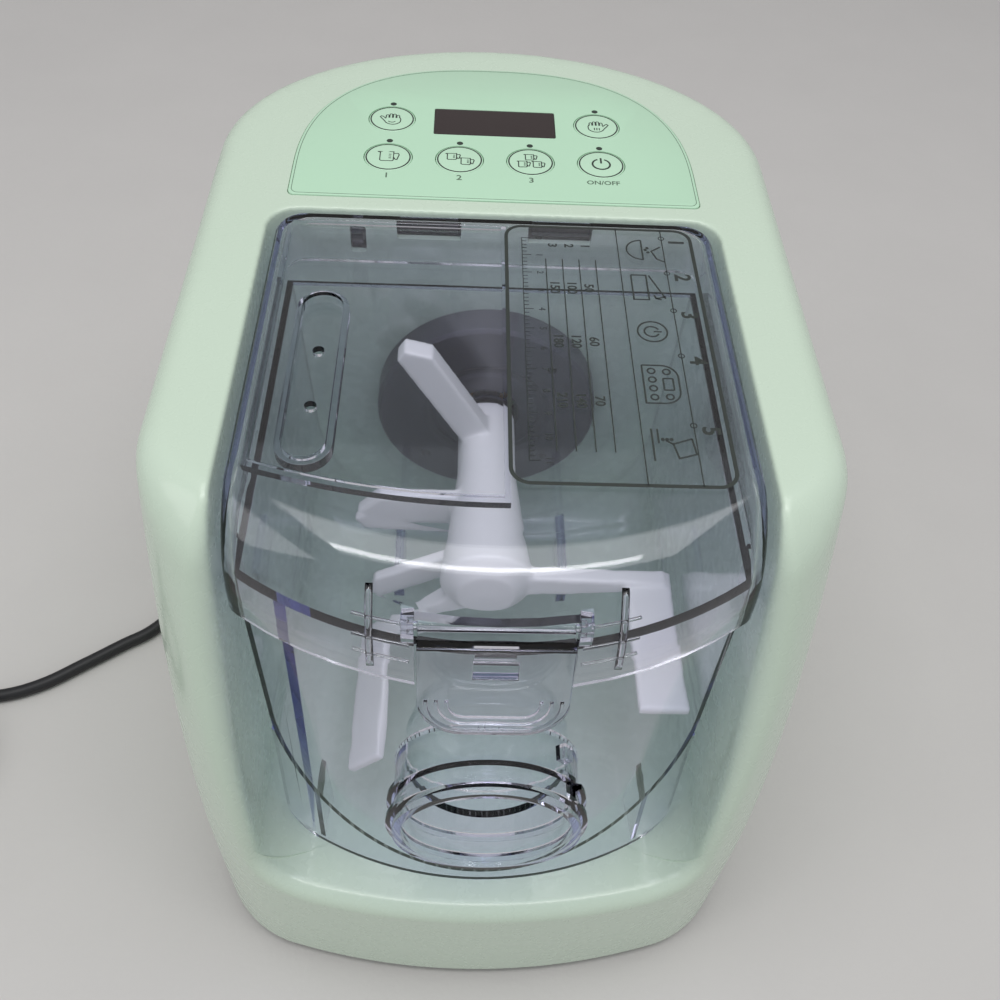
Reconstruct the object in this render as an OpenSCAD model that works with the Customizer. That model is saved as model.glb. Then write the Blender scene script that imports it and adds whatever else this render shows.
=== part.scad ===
// Countertop pasta maker: a moulded housing with a clear mixing tub in an open bay, a clear
// hinged lid, a kneading paddle on a geared motor drive, six touch keys and a mains lead.
// Origin: middle of the footprint on the worktop. +X is right, -Y is the front, +Z is up.

/* [Housing] */
// Width across the sides
body_w = 222; // [210:1:240]
// Depth from the front wall to the back wall
body_d = 332; // [322:1:350]
// Height from the worktop to the top deck
body_h = 245; // [240:1:258]
// Thickness of the housing's walls
wall = 2.6; // [2:0.1:3.2]
// Plan radius of the two front corners
corner_r = 46; // [38:1:52]
// Plan radius of the bowed front
bow_r = 290; // [250:5:400]
// Depth of the rounded back, from where the straight sides end
back_round = 84; // [70:1:95]
// Side-view radius in which the front face leans back
lean_r = 450; // [380:10:600]
// Height at which the front face starts to lean back
lean_z = 60; // [45:1:68]
// Radius of the roll along the sides and the back of the deck
deck_r = 10; // [6:1:14]
// Radius of the roll over the front of the deck
front_roll = 20; // [15:1:24]
// Depth of the machine room behind the bay
machine_d = 130; // [124:1:136]
// Depth of the drive axis below the deck
axis_drop = 93.2; // [90:0.2:97]
// How far the two side covers stand proud of the housing
cover_proud = 2; // [1.5:0.5:4]
// Height of the side covers
cover_h = 84; // [70:1:100]
// Corner radius of the side covers
cover_r = 30; // [15:1:34]
// Distance of the side covers below the deck
cover_top = 19; // [16:1:26]
// Distance of the side covers behind the foremost point
cover_front = 74; // [66:1:90]
// Distance of the side covers from the back wall
cover_rear = 88; // [84:1:110]

/* [Base] */
// Height of the rubber feet below the housing
foot_h = 5; // [3:0.5:8]
// Radius of a rubber foot
foot_r = 10; // [7:0.5:13]
// Distance of the front feet behind the foremost point
foot_front = 48; // [40:1:60]
// Distance of the back feet from the back wall
foot_rear = 54; // [46:1:66]
// Distance of the feet from the housing's sides
foot_side = 39; // [35:1:50]
// Thickness of the base plate
base_t = 2.5; // [2:0.5:4]

/* [Bay] */
// Width of the bay at its floor
bay_w = 166; // [160:1:170]
// How much each side of the bay opens out up to the deck
bay_draft = 1; // [0.5:0.25:2]
// Radius of the bay's two lower corners
bay_corner = 20; // [14:1:24]
// Radius of the bay's upright back corners
bay_back_r = 11; // [8:1:14]
// How far the arms' inner faces flare at the front of the deck
arm_flare = 7; // [4:0.5:9]

/* [Tub] */
// Thickness of the tub's walls
tub_wall = 2.6; // [2:0.1:3.2]
// Gap beside the round floor of the tub
tub_side_gap = 7.6; // [6:0.2:10]
// Height of the round floor above the bay's floor
tub_lift = 4.9; // [4:0.1:8]
// Depth of the tub's rim below the deck
rim_drop = 23.2; // [21:0.2:26]
// Width of the flange around the rim
rim_w = 3.8; // [3:0.1:5]
// Thickness of the flange around the rim
rim_t = 2.5; // [2:0.1:3.5]
// Gap between the rim and the bay's walls
rim_gap = 1.6; // [1:0.1:2.5]
// Room for the drive disc between the tub and the bay's back wall
drive_gap = 14; // [12:0.5:18]
// Depth of the shelf in front of the tub
shelf_d = 15; // [14:0.5:16.5]
// Plan radius of the bowed front wall
tub_bow = 132; // [128:1:140]
// Backward lean of the front wall, in degrees
tub_lean = 4; // [3.8:0.1:5]
// Outer radius of the outlet collar
collar_r = 30.4; // [28:0.1:32]
// Thickness of the outlet collar's wall
collar_wall = 2.8; // [2:0.1:3.5]
// Height of the threads on the collar
thread_h = 2.2; // [1.5:0.1:2.6]
// Axial width of one thread
thread_w = 3; // [2:0.2:4]
// Distance between two threads
thread_pitch = 7; // [5.5:0.5:8]

/* [Lid] */
// Thickness of the lid
lid_t = 2.4; // [2:0.1:3]
// Gap between the lid and the bay's walls
lid_gap = 1.8; // [1.2:0.1:2.4]
// Height of the lid's skirt above the tub's rim
lid_lift = 0.8; // [0.8:0.1:1.4]
// Setback of the lid's lip behind the foremost point
lid_set = 20.6; // [19:0.1:21]
// Plan radius of the lid's bowed front
lid_bow = 134; // [130:1:140]
// Radius of the bullnose at the front of the lid
lid_nose = 30; // [24:1:34]
// Drop of the front lip below the tub's rim
lid_lip = 15; // [10:0.5:18]
// Distance of the water tray behind the lid's lip
tray_set = 43.4; // [36:0.2:60]
// Depth of the water tray in the left half
tray_d = 2.5; // [1.5:0.1:3.5]
// Width of the water slot
slot_w = 14; // [10:0.5:16]
// Length of the water slot
slot_len = 77; // [60:1:84]
// Depth of the water slot below the tray
slot_d = 4; // [3:0.5:6]
// Diameter of the drip holes in the slot
drip_d = 4; // [3:0.5:5]

/* [Latch] */
// Width of the latch pad
latch_w = 44.5; // [40:0.5:50]
// Thickness of the latch pad
latch_t = 3; // [2.4:0.1:3.6]
// Height of the latch pad
latch_h = 38; // [34:1:42]
// Backward lean of the latch pad, in degrees
latch_lean = 10.4; // [9:0.2:12]
// Radius of the latch's pivot pins
latch_pin_r = 1.2; // [1:0.05:1.5]

/* [Paddle] */
// Gap between the paddle's blades and the tub's floor
sweep_gap = 1.8; // [1.2:0.1:4]
// Radius of the paddle's hub at the back
hub_r = 12; // [10.5:0.5:14]
// Radius of the paddle's hub at the front
hub_flare_r = 18; // [15:0.5:21]
// Free length of the tub in front of the paddle's hub
hub_set = 81; // [76:1:92]
// Width of the two scraper blades
scraper_w = 18; // [14:1:22]
// Length of the two scraper blades
scraper_len = 50; // [40:1:52]
// Thickness of the two scraper blades
scraper_t = 4; // [3:0.5:5]

/* [Drive] */
// Radius of the drive shaft
shaft_r = 6; // [5:0.25:7]
// Length of the shaft's six-sided end
hex_len = 19; // [14:0.5:24]
// Running clearance of the shafts, on the radius
run_fit = 0.05; // [0.02:0.01:0.08]
// Radius of the dark disc on the bay's back wall
disc_r = 47; // [44:0.5:50]
// Sideways place of the idler gear
idler_side = 12.5; // [8:0.5:20]
// Place of the idler between the motor's axis and the drive axis, as a fraction of the way
idler_frac = 0.442; // [0.42:0.002:0.46]
// Teeth on the output gear
out_teeth = 44; // [42:1:46]
// Teeth on the small idler gear
small_teeth = 12; // [12:1:13]
// Width of the output gear
out_w = 12; // [10:1:13]
// Teeth on the large idler gear
large_teeth = 60; // [56:1:60]
// Teeth on the motor's pinion
pinion_teeth = 12; // [12:1:14]
// Width of the large idler gear
in_w = 8; // [6:0.5:9]
// Gap between the base plate and the motor
motor_lift = 9.5; // [6:0.5:14]
// Radius of the motor's can
motor_r = 35; // [32:0.5:36]
// Length of the motor's can
motor_len = 62; // [54:1:64]
// Radius of the motor's rotor
rotor_r = 21; // [18:0.5:23]
// Radius of the motor's shaft
motor_shaft_r = 4; // [3.5:0.25:4.5]
// Radius of the cooling fan
fan_r = 27; // [22:0.5:29]

/* [Controls] */
// Width of the control panel
panel_w = 157.4; // [150:0.2:164]
// Distance of the panel behind the bay
panel_gap = 7.7; // [7:0.1:10]
// Distance of the panel from the back wall
panel_rear = 24.4; // [22:0.2:30]
// Thickness of the control panel
panel_t = 1.8; // [1.6:0.1:2]
// How far the panel stands above the deck
panel_proud = 0.4; // [0.2:0.1:0.6]
// Width of the display window
display_w = 50; // [40:1:52]
// Depth of the display window
display_d = 19.6; // [14:0.2:20]
// Radius of a key's cap
key_r = 9.4; // [8.4:0.1:9.6]
// Gap around a key's cap
key_gap = 0.3; // [0.2:0.05:0.4]
// Distance between two keys in the front row
key_pitch = 28.2; // [24:0.2:29]
// Distance of the front row of keys behind the panel's front edge
key_row = 27.3; // [24:0.1:30]
// Distance between the two rows of keys
row_pitch = 28; // [26:0.5:30]

/* [Mains lead] */
// Diameter of the mains lead
cord_d = 6.3; // [5.5:0.1:7]
// Middle radius of the stored coil
coil_r = 35; // [33:0.5:38]

/* [Hidden] */
$fn = 64;

// Small shared sizes
seat = 0.3;
over = 1;

// Planes of the housing, the bay and the tub
front_y = -body_d / 2;
back_y = body_d / 2;
deck_in = body_h - wall;
bay_back = back_y - machine_d;
tub_back = bay_back - drive_gap;
tub_front = front_y + shelf_d;
lid_front = front_y + lid_set;

// Heights of the drive axis, the bay's floor and the tub's rim
tub_r = bay_w / 2 - tub_side_gap;
drive_z = body_h - axis_drop;
bay_floor = drive_z - tub_r - tub_lift;
rim_z = body_h - rim_drop;
tub_side_h = rim_z - drive_z;
base_z = foot_h + 2;

// Plan arc of n steps, and the same without its last point, where another arc goes on
function arc(cx, cy, r, a0, a1, n) =
    [for (i = [0:n]) let (a = a0 + (a1 - a0) * i / n) [cx + r * cos(a), cy + r * sin(a)]];
function open_arc(cx, cy, r, a0, a1, n) =
    [for (i = [0:n - 1]) let (a = a0 + (a1 - a0) * i / n) [cx + r * cos(a), cy + r * sin(a)]];

// Closes a half outline with its mirror image in the middle plane
function closed(half) =
    concat(half, [for (i = [len(half) - 2:-1:1]) [-half[i][0], half[i][1]]]);

// Setback of the leaning front face at height z
function lean(z) = z <= lean_z ? 0 : lean_r - sqrt(lean_r * lean_r - pow(z - lean_z, 2));

// Inset of a roll of radius r that ends at height top
function roll(z, top, r) = z <= top - r ? 0 : r - sqrt(max(r * r - pow(z - top + r, 2), 0));

// Plan outline of the housing: bowed front, round corners, straight sides, elliptic back
function body_plan(side_in, front_in) =
    let (hw = body_w / 2 - side_in,
         r = corner_r - side_in,
         ex = hw - r,
         by = front_y + front_in + bow_r,
         cy = by - sqrt(pow(bow_r - r, 2) - ex * ex),
         turn = asin(ex / (bow_r - r)),
         ey = back_y - back_round,
         er = back_round - side_in)
    closed(concat(
        open_arc(0, by, bow_r, -90, -90 + turn, 5),
        arc(ex, cy, r, -90 + turn, 0, 8),
        [for (a = [0:6:90]) [hw * cos(a), ey + er * sin(a)]]));

// Heights of the plan slices between the foot of the form and its top
function levels(z0, top) = concat(
    [z0, z0 + 2, lean_z],
    [for (i = [1:4]) lean_z + (top - front_roll - lean_z) * i / 4],
    [for (a = [15:15:90]) top - front_roll + front_roll * sin(a)]);

// Solid skin over a stack of level outlines that all have as many points
module loft(rings) {
    n = len(rings[0]);
    last = len(rings) - 1;
    polyhedron(
        points = [for (r = rings) each r],
        faces = concat(
            [[for (k = [0:n - 1]) k]],
            [for (i = [0:last - 1], k = [0:n - 1])
                [i * n + k, (i + 1) * n + k, (i + 1) * n + (k + 1) % n]],
            [for (i = [0:last - 1], k = [0:n - 1])
                [i * n + k, (i + 1) * n + (k + 1) % n, i * n + (k + 1) % n]],
            [[for (k = [n - 1:-1:0]) last * n + k]]));
}

// Lifts a plan outline to height z
function at_z(plan, z) = [for (p = plan) [p[0], p[1], z]];

// The housing's outer form, moved inwards by inset, from z0 up to top
module body_form(inset, z0, top) {
    roll_in = max(inset, 0);
    loft([for (z = levels(z0, top))
        let (foot_in = z == z0 ? inset + 1.2 : inset)
        at_z(body_plan(
            foot_in + roll(z, top, deck_r - roll_in),
            foot_in + lean(z) + roll(z, top, front_roll - roll_in)), z)]);
}

// Half-width of the bay at height z
function bay_hw(z) = bay_w / 2 + bay_draft * (z - bay_floor) / (body_h - bay_floor);

// Plan outline of the bay, open to the front
function bay_plan(hw, back, r) = closed(concat(
    [[0, front_y - 30], [hw, front_y - 30]],
    arc(hw - r, back - r, r, 0, 90, 5),
    [[0, back]]));

// The bay as a space, grown outwards by t
module bay_form(t) {
    rc = bay_corner + t;
    loft(concat(
        [for (a = [0:15:90])
            let (z = bay_floor - t + rc * (1 - cos(a)))
            at_z(bay_plan(bay_hw(z) + t - rc * (1 - sin(a)), bay_back + t, bay_back_r + t), z)],
        [at_z(bay_plan(bay_hw(body_h) + t, bay_back + t, bay_back_r + t), body_h + over)]));
}

// Wedge that flares one arm's inner face towards the front
flare_d = 62;
module arm_flare_cut(side) {
    y0 = front_y + flare_d;
    y1 = front_y - 4;
    hw = bay_hw(body_h) - over;
    hull() {
        for (p = [[hw, y0], [hw, y1], [hw + arm_flare + over, y1]])
            translate([side * p[0], p[1], body_h - front_roll])
                cylinder(r = 0.1, h = front_roll + over, $fn = 6);
        for (y = [y0, y1])
            translate([side * (hw - 2), y, bay_floor + bay_corner])
                sphere(r = 0.1, $fn = 6);
    }
}

// Half-widths of the tub's rim and of its walls under the flange
rim_hw = bay_hw(rim_z) - rim_gap;
tub_top_hw = rim_hw - rim_w;

// Drive train: the idler's place sets the centre distances, and these set the modules
motor_z = base_z + base_t + motor_lift + motor_r;
span = drive_z - motor_z;
idler_x = idler_side;
idler_z = motor_z + idler_frac * span;
idler_drop = drive_z - idler_z;
out_mod = 2 * norm([idler_x, idler_drop]) / (out_teeth + small_teeth);
in_mod = 2 * norm([idler_x, idler_z - motor_z]) / (large_teeth + pinion_teeth);
out_r = out_mod * out_teeth / 2;
small_r = out_mod * small_teeth / 2;
large_r = in_mod * large_teeth / 2;
pinion_r = in_mod * pinion_teeth / 2;

// Stations of the drive along Y, from the bay's back wall to the fan
case_wall = 3;
case_front_gap = 4;
stage_gap = 3;
case_back_gap = 5;
case_y0 = bay_back + wall + seat;
out_y0 = case_y0 + case_wall + case_front_gap;
in_y0 = out_y0 + out_w + stage_gap;
case_y1 = in_y0 + in_w + case_back_gap;
motor_y0 = case_y1 + case_wall;
motor_y1 = motor_y0 + motor_len;
can_wall = 2;
can_end = 4;
winding_end = 10;
fan_gap = 3;
fan_y0 = motor_y1 + fan_gap;
fan_w = 8;
bush_wall = 4;
bush_r = shaft_r + bush_wall;
neck_r = bush_r + 2.6;

// Turns a solid drawn along +Z so that it lies along +Y from y0, at x and z
module along_y(x, y0, z) {
    translate([x, y0, z])
        rotate([-90, 0, 0])
            children();
}

// ---- Housing ----

// Centres of the six keys: front row of four, back row of two
panel_front = bay_back + panel_gap;
panel_back = back_y - panel_rear;
key_row_1 = panel_front + key_row;
key_row_2 = key_row_1 + row_pitch;
key_x = [-1.5 * key_pitch, -0.5 * key_pitch, 0.5 * key_pitch, 1.5 * key_pitch];
KEYS = [[key_x[0], key_row_2], [key_x[3], key_row_2], [key_x[0], key_row_1],
    [key_x[1], key_row_1], [key_x[2], key_row_1], [key_x[3], key_row_1]];
display_y = key_row_2 - 0.5;

// Outline of the control panel: a straight front edge and a superellipse round the back
panel_power = 2.5;
panel_shoulder = 18;
panel_mid = panel_front + panel_shoulder;
function panel_plan(inset) = closed(concat(
    [[0, panel_front + inset], [panel_w / 2 - inset - 3, panel_front + inset]],
    arc(panel_w / 2 - inset - 3, panel_front + inset + 3, 3, -72, 0, 3),
    [for (a = [0:6:90]) [
        (panel_w / 2 - inset) * pow(cos(a), 2 / panel_power),
        panel_mid + (panel_back - panel_mid - inset) * pow(sin(a), 2 / panel_power)]]));

// Lid hinge axis and the tabs that hook into the bay's back wall
hinge_y = bay_back - 6;
hinge_z = body_h - 2;
tab_x = 25;
tab_w = 22;
tab_h = 5;
tab_play = 1.2;
tab_z = body_h - 3.5 - tab_h;
tongue_side = 31;
tongue_x = -bay_w / 2 + tongue_side;
tongue_w = 4;
tongue_h = 8;
tongue_z = rim_z + tongue_h;

// Underside bosses of the deck that carry the control board
boss_r = 3;
board_drop = 9.4;
board_z = body_h - board_drop;
board_edge = 12.3;
board_w = 3 * key_pitch + 2 * (key_r + board_edge);
board_front = 9;
board_rear = 7;
board_y0 = key_row_1 - key_r - board_front;
board_y1 = key_row_2 + key_r + board_rear;
board_d = board_y1 - board_y0;
board_y = (board_y0 + board_y1) / 2;
boss_edge = 5;
boss_x = board_w / 2 - boss_edge;
boss_dy = board_d / 2 - boss_edge;

// Stations of the lead's outlet in the back wall
cord_x = -45;
cord_z = 28;
outlet_r = cord_d / 2 + 2.6;
cord_wall_y = back_y - back_round
    + back_round * sqrt(1 - pow(cord_x / (body_w / 2), 2));

vent_z = motor_z;
vent_count = 7;
vent_pitch = 8;

module housing_shell() {
    color([0.80, 0.87, 0.79])
    difference() {
        body_form(0, foot_h, body_h);
        difference() {
            body_form(wall, foot_h - over, deck_in);
            bay_form(wall);
            for (x = [-boss_x, boss_x], y = [board_y - boss_dy, board_y + boss_dy])
                translate([x, y, board_z + seat])
                    cylinder(r = boss_r, h = board_drop, $fn = 24);
        }
        bay_form(0);
        for (side = [-1, 1])
            arm_flare_cut(side);
        // seat of the control panel, with holes for the keys and the display
        translate([0, 0, body_h - panel_t + panel_proud])
            linear_extrude(panel_t)
                polygon(panel_plan(-0.3));
        for (p = KEYS)
            translate([p[0], p[1], deck_in - over])
                cylinder(r = key_r + key_gap, h = wall + 2 * over);
        translate([-display_w / 2 + 2, display_y - display_d / 2 + 2, deck_in - over])
            cube([display_w - 4, display_d - 4, wall + 2 * over]);
        // windows for the lid's tabs and its tongue, and the hole round the drive
        for (x = [-tab_x, tab_x])
            translate([x - tab_w / 2 - tab_play, bay_back - over, tab_z - tab_h])
                cube([tab_w + 2 * tab_play, wall + 2 * over, 2 * tab_h + tab_play]);
        translate([tongue_x - tongue_w / 2 - 1, bay_back - over, tongue_z - tongue_h / 2 - 1])
            cube([tongue_w + 2, wall + 2 * over, tongue_h * 1.5 + 2]);
        along_y(0, bay_back - over, drive_z)
            cylinder(r = neck_r + 0.4, h = wall + 2 * over);
        // outlet of the mains lead and the vents behind the fan
        along_y(cord_x, cord_wall_y - 14, cord_z)
            cylinder(r = outlet_r, h = 24, $fn = 40);
        for (i = [0:vent_count - 1])
            translate([-24, back_y - 12, vent_z + (i - (vent_count - 1) / 2) * vent_pitch - 1.5])
                cube([48, 20, 3]);
    }
}

// Side covers: raised panels that follow the housing's sides
cover_y0 = front_y + cover_front;
cover_y1b = back_y - cover_rear;
cover_z1 = body_h - cover_top;
cover_z0 = cover_z1 - cover_h;

module side_cover(side) {
    color([0.82, 0.89, 0.81])
    intersection() {
        difference() {
            body_form(-cover_proud, foot_h, body_h);
            body_form(0, foot_h, body_h);
        }
        translate([side > 0 ? body_w / 4 : -body_w, 0, 0])
            rotate([90, 0, 90])
                linear_extrude(body_w * 3 / 4)
                    union() {
                        translate([cover_y0 + cover_r, cover_z0])
                            square([cover_y1b - cover_y0 - 2 * cover_r, cover_z1 - cover_z0]);
                        translate([cover_y0, cover_z0 + cover_r])
                            square([cover_y1b - cover_y0, cover_z1 - cover_z0 - 2 * cover_r]);
                        for (y = [cover_y0 + cover_r, cover_y1b - cover_r],
                             z = [cover_z0 + cover_r, cover_z1 - cover_r])
                            translate([y, z])
                                circle(r = cover_r);
                    }
    }
}

module side_cover_left() {
    side_cover(-1);
}

module side_cover_right() {
    side_cover(1);
}

// ---- Base ----

foot_x = body_w / 2 - foot_side;
FEET = [for (x = [-foot_x, foot_x], y = [front_y + foot_front, back_y - foot_rear]) [x, y]];
screw_side = 19;
screw_front = 126;
screw_rear = 116;
SCREWS = [for (x = [-1, 1], y = [front_y + screw_front, back_y - screw_rear])
    [x * (body_w / 2 - screw_side), y]];
foot_stem_r = 3.5;
screw_r = 1.7;
screw_len = 11;
screw_head_r = 3.2;
screw_head_h = 2;

module base_plate() {
    color([0.78, 0.84, 0.77])
    difference() {
        union() {
            translate([0, 0, base_z])
                linear_extrude(base_t)
                    polygon(body_plan(wall + seat, wall + seat));
            // stand-offs of the power board
            for (x = [-1, 1], y = [-1, 1])
                translate([x * (supply_w / 2 - supply_edge + 1),
                        supply_y + y * (supply_d / 2 - supply_edge + 2), base_z])
                    cylinder(r = boss_r, h = base_t + standoff_h, $fn = 24);
            // saddle that carries the back of the motor
            translate([-14, motor_y1 - 16, base_z])
                cube([28, 10, motor_z - motor_r - base_z - seat]);
        }
        for (p = FEET)
            translate([p[0], p[1], base_z - over])
                cylinder(r = foot_stem_r, h = base_t + 2 * over);
        for (p = SCREWS)
            translate([p[0], p[1], base_z - over])
                cylinder(r = screw_r + 0.2, h = base_t + 2 * over, $fn = 24);
        for (i = [-4:4])
            translate([i * 7 - 1.5, motor_y0 - 3, base_z - over])
                cube([3, 34, base_t + 2 * over]);
    }
}

module rubber_feet() {
    color([0.16, 0.16, 0.17])
    for (p = FEET)
        translate([p[0], p[1], 0]) {
            rotate_extrude()
                polygon([[0, 0], [foot_r - 1.5, 0], [foot_r, 1.5], [foot_r, base_z], [0, base_z]]);
            translate([0, 0, base_z])
                cylinder(r = foot_stem_r - 0.05, h = base_t + 1.5);
        }
}

module base_screws() {
    color([0.70, 0.71, 0.73])
    for (p = SCREWS)
        translate([p[0], p[1], base_z - screw_head_h]) {
            cylinder(r = screw_head_r, h = screw_head_h, $fn = 32);
            translate([0, 0, screw_head_h])
                cylinder(r = screw_r, h = screw_len, $fn = 24);
        }
}

// ---- Controls ----

module control_panel() {
    color([0.74, 0.89, 0.77])
    difference() {
        translate([0, 0, body_h - panel_t + panel_proud])
            linear_extrude(panel_t)
                polygon(panel_plan(0));
        for (p = KEYS) {
            translate([p[0], p[1], body_h - panel_t])
                cylinder(r = key_r + key_gap, h = panel_t + 2 * over);
            translate([p[0], p[1] + key_r + 2.2, body_h - panel_t])
                cylinder(r = 1.3, h = panel_t + 2 * over, $fn = 32);
        }
        translate([-display_w / 2, display_y - display_d / 2, body_h - panel_t])
            cube([display_w, display_d, panel_t + 2 * over]);
    }
}

module display_window() {
    color([0.08, 0.05, 0.05])
    translate([-display_w / 2 + 0.2, display_y - display_d / 2 + 0.2, body_h - panel_t + panel_proud])
        cube([display_w - 0.4, display_d - 0.4, panel_t]);
}

module key_lamps() {
    color([0.12, 0.16, 0.14])
    for (p = KEYS)
        translate([p[0], p[1] + key_r + 2.2, body_h - panel_t + panel_proud])
            cylinder(r = 1.2, h = panel_t, $fn = 32);
}

// One key: a slightly crowned cap on a stem that ends just above its switch
key_travel = 0.5;
switch_h = 1.6;
module key_cap(p) {
    color([0.74, 0.89, 0.77])
    translate([p[0], p[1], 0])
        rotate_extrude()
            polygon([[0, board_z + switch_h + key_travel + 0.2],
                [2.5, board_z + switch_h + key_travel + 0.2], [2.5, deck_in],
                [key_r, deck_in], [key_r, body_h + panel_proud - 0.3],
                [key_r - 0.6, body_h + panel_proud], [key_r * 0.5, body_h + panel_proud + 0.25],
                [0, body_h + panel_proud + 0.35]]);
}

module key_knead() {
    key_cap(KEYS[0]);
}

module key_extrude() {
    key_cap(KEYS[1]);
}

module key_one() {
    key_cap(KEYS[2]);
}

module key_two() {
    key_cap(KEYS[3]);
}

module key_three() {
    key_cap(KEYS[4]);
}

module key_power() {
    key_cap(KEYS[5]);
}

switch_w = 6;
module_edge = 4;
module control_board() {
    color([0.16, 0.40, 0.24])
    union() {
        translate([-board_w / 2, board_y - board_d / 2, board_z - board_t])
            cube([board_w, board_d, board_t]);
        for (p = KEYS)
            translate([p[0] - switch_w / 2, p[1] - switch_w / 2, board_z - 0.5])
                cube([switch_w, switch_w, switch_h + 0.5]);
        translate([-display_w / 2 + module_edge, display_y - display_d / 2 + module_edge,
                board_z - 0.5])
            cube([display_w - 2 * module_edge, display_d - 2 * module_edge, deck_in - board_z]);
    }
}

// ---- Drive ----

// Outline of one spur gear with involute flanks, n teeth of module m
pressure = 25;
backlash = 0.28;
function inv_deg(a) = tan(a) * 180 / PI - a;
function tooth_half(m, n, r) =
    let (rp = m * n / 2,
         rb = rp * cos(pressure),
         at_r = r <= rb ? 0 : acos(rb / r))
    90 / n - backlash / rp * 90 / PI + inv_deg(pressure) - inv_deg(at_r);
function gear_plan(m, n, turn) =
    let (rp = m * n / 2,
         ra = rp + 0.85 * m,
         rf = rp - 1.2 * m,
         rb = max(rf + 0.1, rp * cos(pressure)),
         rs = [rf, rb, (rb + rp) / 2, rp, (rp + ra) / 2, ra])
    [for (i = [0:n - 1])
        let (c = turn + 360 * i / n)
        for (k = [0:11])
            let (s = k < 6 ? -1 : 1,
                 r = rs[k < 6 ? k : 11 - k],
                 a = c + s * tooth_half(m, n, max(r, rb)))
            [r * cos(a), r * sin(a)]];

// The tooth phases bring the three gears into mesh on their lines of centres.
// Angles are seen in the gears' own plane, whose first axis is X and second is -Z.
down_out = atan2(idler_drop, idler_x);
down_in = atan2(idler_z - motor_z, -idler_x);
small_phase = down_out + 180 + 180 / small_teeth;
large_phase = down_in;
pinion_phase = down_in + 180 + 180 / pinion_teeth;

module drive_disc() {
    color([0.29, 0.29, 0.31])
    along_y(0, tub_back + 2 * seat, drive_z)
        difference() {
            rotate_extrude()
                polygon([[bush_r + 4, 0], [disc_r * 0.47, 0], [disc_r * 0.5, 1.2],
                    [disc_r * 0.55, 1.2], [disc_r * 0.585, 0], [disc_r - 1.5, 0],
                    [disc_r, 1.5], [disc_r, drive_gap - 2 * seat],
                    [bush_r + 4, drive_gap - 2 * seat]]);
            for (a = [45:90:315])
                rotate(a)
                    translate([disc_r * 0.79, 0, -over])
                        cylinder(r = 2, h = 4, $fn = 24);
        }
}

// Outline of the gearcase round the two gear stages, grown by g
gear_room = 2;
case_t = 2.5;
module case_plan(g) {
    union() {
        circle(r = out_r + out_mod + gear_room + g);
        translate([idler_x, idler_drop])
            circle(r = large_r + in_mod + gear_room + g);
        translate([0, span])
            circle(r = pinion_r + in_mod + 4 * gear_room + g);
        translate([-large_r - g, 0])
            square([2 * large_r + 2 * g, span - pinion_r]);
    }
}

module gearcase() {
    color([0.84, 0.84, 0.82])
    along_y(0, case_y0, drive_z)
        difference() {
            union() {
                linear_extrude(case_y1 - case_y0)
                    case_plan(case_t);
                translate([0, 0, -wall - seat])
                    cylinder(r = neck_r, h = wall + seat + 8);
            }
            difference() {
                translate([0, 0, case_wall])
                    linear_extrude(case_y1 - case_y0)
                        case_plan(0);
                cylinder(r = neck_r, h = 2 * case_wall);
                translate([idler_x, idler_drop, 0])
                    cylinder(r = 2 * motor_shaft_r, h = 2 * case_wall);
            }
            translate([0, 0, -wall - seat - over])
                cylinder(r = bush_r, h = wall + seat + 2 * case_wall + 2 * over);
            translate([idler_x, idler_drop, 1])
                cylinder(r = motor_shaft_r, h = 2 * case_wall);
        }
}

module gearcase_cover() {
    color([0.80, 0.80, 0.78])
    along_y(0, case_y1, drive_z)
        difference() {
            linear_extrude(case_wall)
                case_plan(case_t);
            translate([0, 0, -over])
                cylinder(r = bush_r, h = case_wall + 2 * over);
            translate([idler_x, idler_drop, -over])
                cylinder(r = motor_shaft_r, h = case_wall + 2 * over);
            translate([0, span, -over])
                cylinder(r = pinion_r + in_mod + 0.5, h = case_wall + 2 * over);
            for (p = case_screw)
                translate([p[0], p[1], -over])
                    cylinder(r = 1.7, h = case_wall + 2 * over, $fn = 24);
        }
}

// Screws of the cover stand in the case's corners, outside the gears
screw_ring = out_r + out_mod + gear_room + case_t / 2;
case_screw = [[0, -screw_ring], [-screw_ring, 0], [screw_ring, 0]];

module gearcase_screws() {
    color([0.70, 0.71, 0.73])
    for (p = case_screw)
        along_y(p[0], case_y1, drive_z - p[1])
            union() {
                cylinder(r = 1.6, h = case_wall, $fn = 24);
                translate([0, 0, case_wall])
                    cylinder(r = 3, h = 2, $fn = 32);
            }
}

module bush(y0, len) {
    color([0.72, 0.55, 0.32])
    along_y(0, y0, drive_z)
        difference() {
            cylinder(r = bush_r, h = len);
            translate([0, 0, -over])
                cylinder(r = shaft_r + run_fit, h = len + 2 * over);
        }
}

module bush_front() {
    bush(case_y0 - wall - seat, wall + seat + 6);
}

module bush_rear() {
    bush(case_y1 - 2, case_wall + 2);
}

module idler_pin() {
    color([0.75, 0.76, 0.78])
    along_y(idler_x, case_y0 + 1, idler_z)
        cylinder(r = motor_shaft_r, h = case_y1 + case_wall - case_y0 - 1);
}

// Drive shaft: round in its bushes, six-sided where the paddle's socket takes it
hex_y1 = tub_back - 8;
hex_y0 = hex_y1 - hex_len;
module drive_shaft() {
    color([0.76, 0.77, 0.79])
    union() {
        along_y(0, hex_y1, drive_z)
            cylinder(r = shaft_r, h = case_y1 + case_wall - hex_y1);
        along_y(0, hex_y0, drive_z)
            cylinder(r = shaft_r, h = hex_len + 0.01, $fn = 6);
    }
}

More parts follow.
